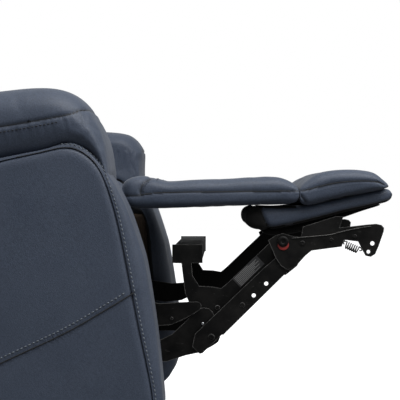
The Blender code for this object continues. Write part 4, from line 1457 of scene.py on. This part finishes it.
def panel_stitches(name, item, panel, grow, at, direction, body):
    """Topstitching round a sewn panel; at turns its (a, b) into a place in the scene."""
    points = [at(a, b) for a, b in panel_loop(panel, grow)]
    hits, facing = cast(tree_of(item), points, direction, 0.5)
    stitches(name, hits, facing, body, material=THREAD_DARK, pitch=0.006, length=0.004, radius=0.0007)


def detail_seat(item):
    """A sewn top panel with one cross channel; its front lip is cut back underneath."""
    co = coords(item)
    under = np.clip((0.49 - co[:, 2]) / 0.04, 0, 1) * np.clip((U_MID - co[:, 1] - 0.2) / 0.12, 0, 1)
    co[:, 1] += UNDERCUT * under
    rear = np.clip((co[:, 1] - U_MID - 0.09) / 0.06, 0, 1)
    co[:, 1] += SEAT_REAR_REACH * rear * rear * (3 - 2 * rear)
    set_coords(item, co)
    where = facing_share(item, (0, 0, 1))
    u = U_MID - coords(item)[:, 1]
    edge = panel_distance(coords(item)[:, 0], u, SEAT_PANEL)
    groove(item, edge, 0.007, 0.008, where)
    groove(item, u - SEAT_CHANNEL, 0.006, 0.009, where * (edge < -0.004))
    ripple(item, 0.0016, 9.0, 31)


def detail_back(item, panel, channels, seed):
    """A sewn front panel with cross channels, for the lumbar and head cushions."""
    where = facing_share(item, (0, -1, 0))
    co = coords(item)
    edge = panel_distance(co[:, 0], co[:, 2], panel)
    groove(item, edge, 0.007, 0.008, where)
    for place in channels:
        groove(item, co[:, 2] - place, 0.008, 0.011, where * (edge < -0.004))
    ripple(item, 0.0016, 9.0, seed)


def detail_shell(item):
    """The outside back: one large panel sewn into a border."""
    co = coords(item)
    edge = panel_distance(co[:, 0], co[:, 2], SHELL_PANEL)
    groove(item, edge, 0.0035, 0.0045, facing_share(item, (0, 1, 0)))
    ripple(item, 0.0012, 7.0, 34)


def reach_forward(item):
    """Brings the foot of the lumbar cushion towards the seat."""
    co = coords(item)
    foot = np.clip((0.54 - co[:, 2]) / 0.08, 0, 1) * np.clip(-normals(item)[:, 1] + 0.3, 0, 1)
    co[:, 1] -= LUMBAR_FOOT_REACH * foot
    set_coords(item, co)


def sew_seat_and_back(seat, lumbar, head, shell):
    for item in (seat, lumbar, head, shell):
        finer(item)
    detail_seat(seat)
    reach_forward(lumbar)
    detail_back(lumbar, LUMBAR_PANEL, (0.58,), 32)
    detail_back(head, HEAD_PANEL, (0.86, 0.945), 33)
    detail_shell(shell)

    def upright(a, b):
        return (a, U_MID + 0.38, b)

    def level(a, b):
        return (a, U_MID - b, 0.48)

    for name, item, panel, grow, at, direction, body in (
        ("seat_stitch", seat, SEAT_PANEL, -0.009, level, (0, 0, -1), "chassis"),
        ("back_lumbar_stitch", lumbar, LUMBAR_PANEL, -0.009, upright, (0, 1, 0), "back"),
        ("back_head_stitch", head, HEAD_PANEL, -0.009, upright, (0, 1, 0), "back"),
        ("back_outside_stitch", shell, SHELL_PANEL, 0.007, upright, (0, -1, 0), "back"),
    ):
        panel_stitches(name, item, panel, grow, at, direction, body)


ICON_TURNS = (90, -90, 180, 0)


def button_icons():
    """A plain raised arrow on each control button."""
    for index, turn in enumerate(ICON_TURNS, 1):
        low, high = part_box(f"control_button_{index}")
        z = (low.z + high.z) / 2
        u = U_MID - (low.y + high.y) / 2
        rings = []
        for x, size in ((high.x - 0.0003, 0.004), (high.x + 0.0003, 0.004), (high.x + 0.0005, 0.0034)):
            ring = []
            for corner in range(3):
                angle = math.radians(turn + 120 * corner)
                ring.append((x, U_MID - (u + size * math.cos(angle)), z + size * math.sin(angle)))
            rings.append(np.array(ring))
        item = loft(f"control_icon_{index}", rings, LABEL_INK)
        item.data.shade_flat()
        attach(item, f"button_{index}")


# ---------------------------------------------------------------- build


# CAD node, (piece name, mesh cell, how much smaller it starts), body, fill
CUSHIONS = (
    ("seat_cushion", ("seat", 0.009, 0.008), "chassis", 0.7),
    ("back_lumbar_cushion", ("back_lumbar", 0.009, 0.008), "back", 0.6),
    ("back_head_cushion", ("back_head", 0.009, 0.008), "back", 0.6),
    ("back_shell", ("back_outside", 0.008, 0.002), "back", 0.9),
)
PILLOW_SWELL = 0.01
PAD_SWELL = 0.008
CUSHION_SWELL = 0.022


def main():
    build_studio()
    for side, sign in SIDES:
        build_arm(side, sign)
    pillows = {side: start_pillow(side, sign) for side, sign in SIDES}
    chaise, pad, board = start_footrest()
    seat, lumbar, head, shell = (soft_form(node, *form) for node, form, _, _ in CUSHIONS)
    jobs = [(pillows[side], PILLOW_SWELL, True) for side, _ in SIDES]
    jobs += [(item, PAD_SWELL, True) for item in (chaise, pad)]
    jobs += [(item, CUSHION_SWELL, False) for item in (seat, lumbar, head)]
    inflate(jobs)
    for side, sign in SIDES:
        finish_pillow(pillows[side], side, sign)
    finish_chaise(chaise)
    finish_footrest_pad(pad)
    finish_board(board)
    build_dust_cover()
    sew_seat_and_back(seat, lumbar, head, shell)
    for item, (node, _, body, fill) in zip((seat, lumbar, head, shell), CUSHIONS):
        finish_pad(item, node, body)
    rivet_heads()
    pivot_bushings()
    coil_springs()
    rating_labels()
    bracket_lips()
    button_icons()
    finish_cad_nodes()


main()
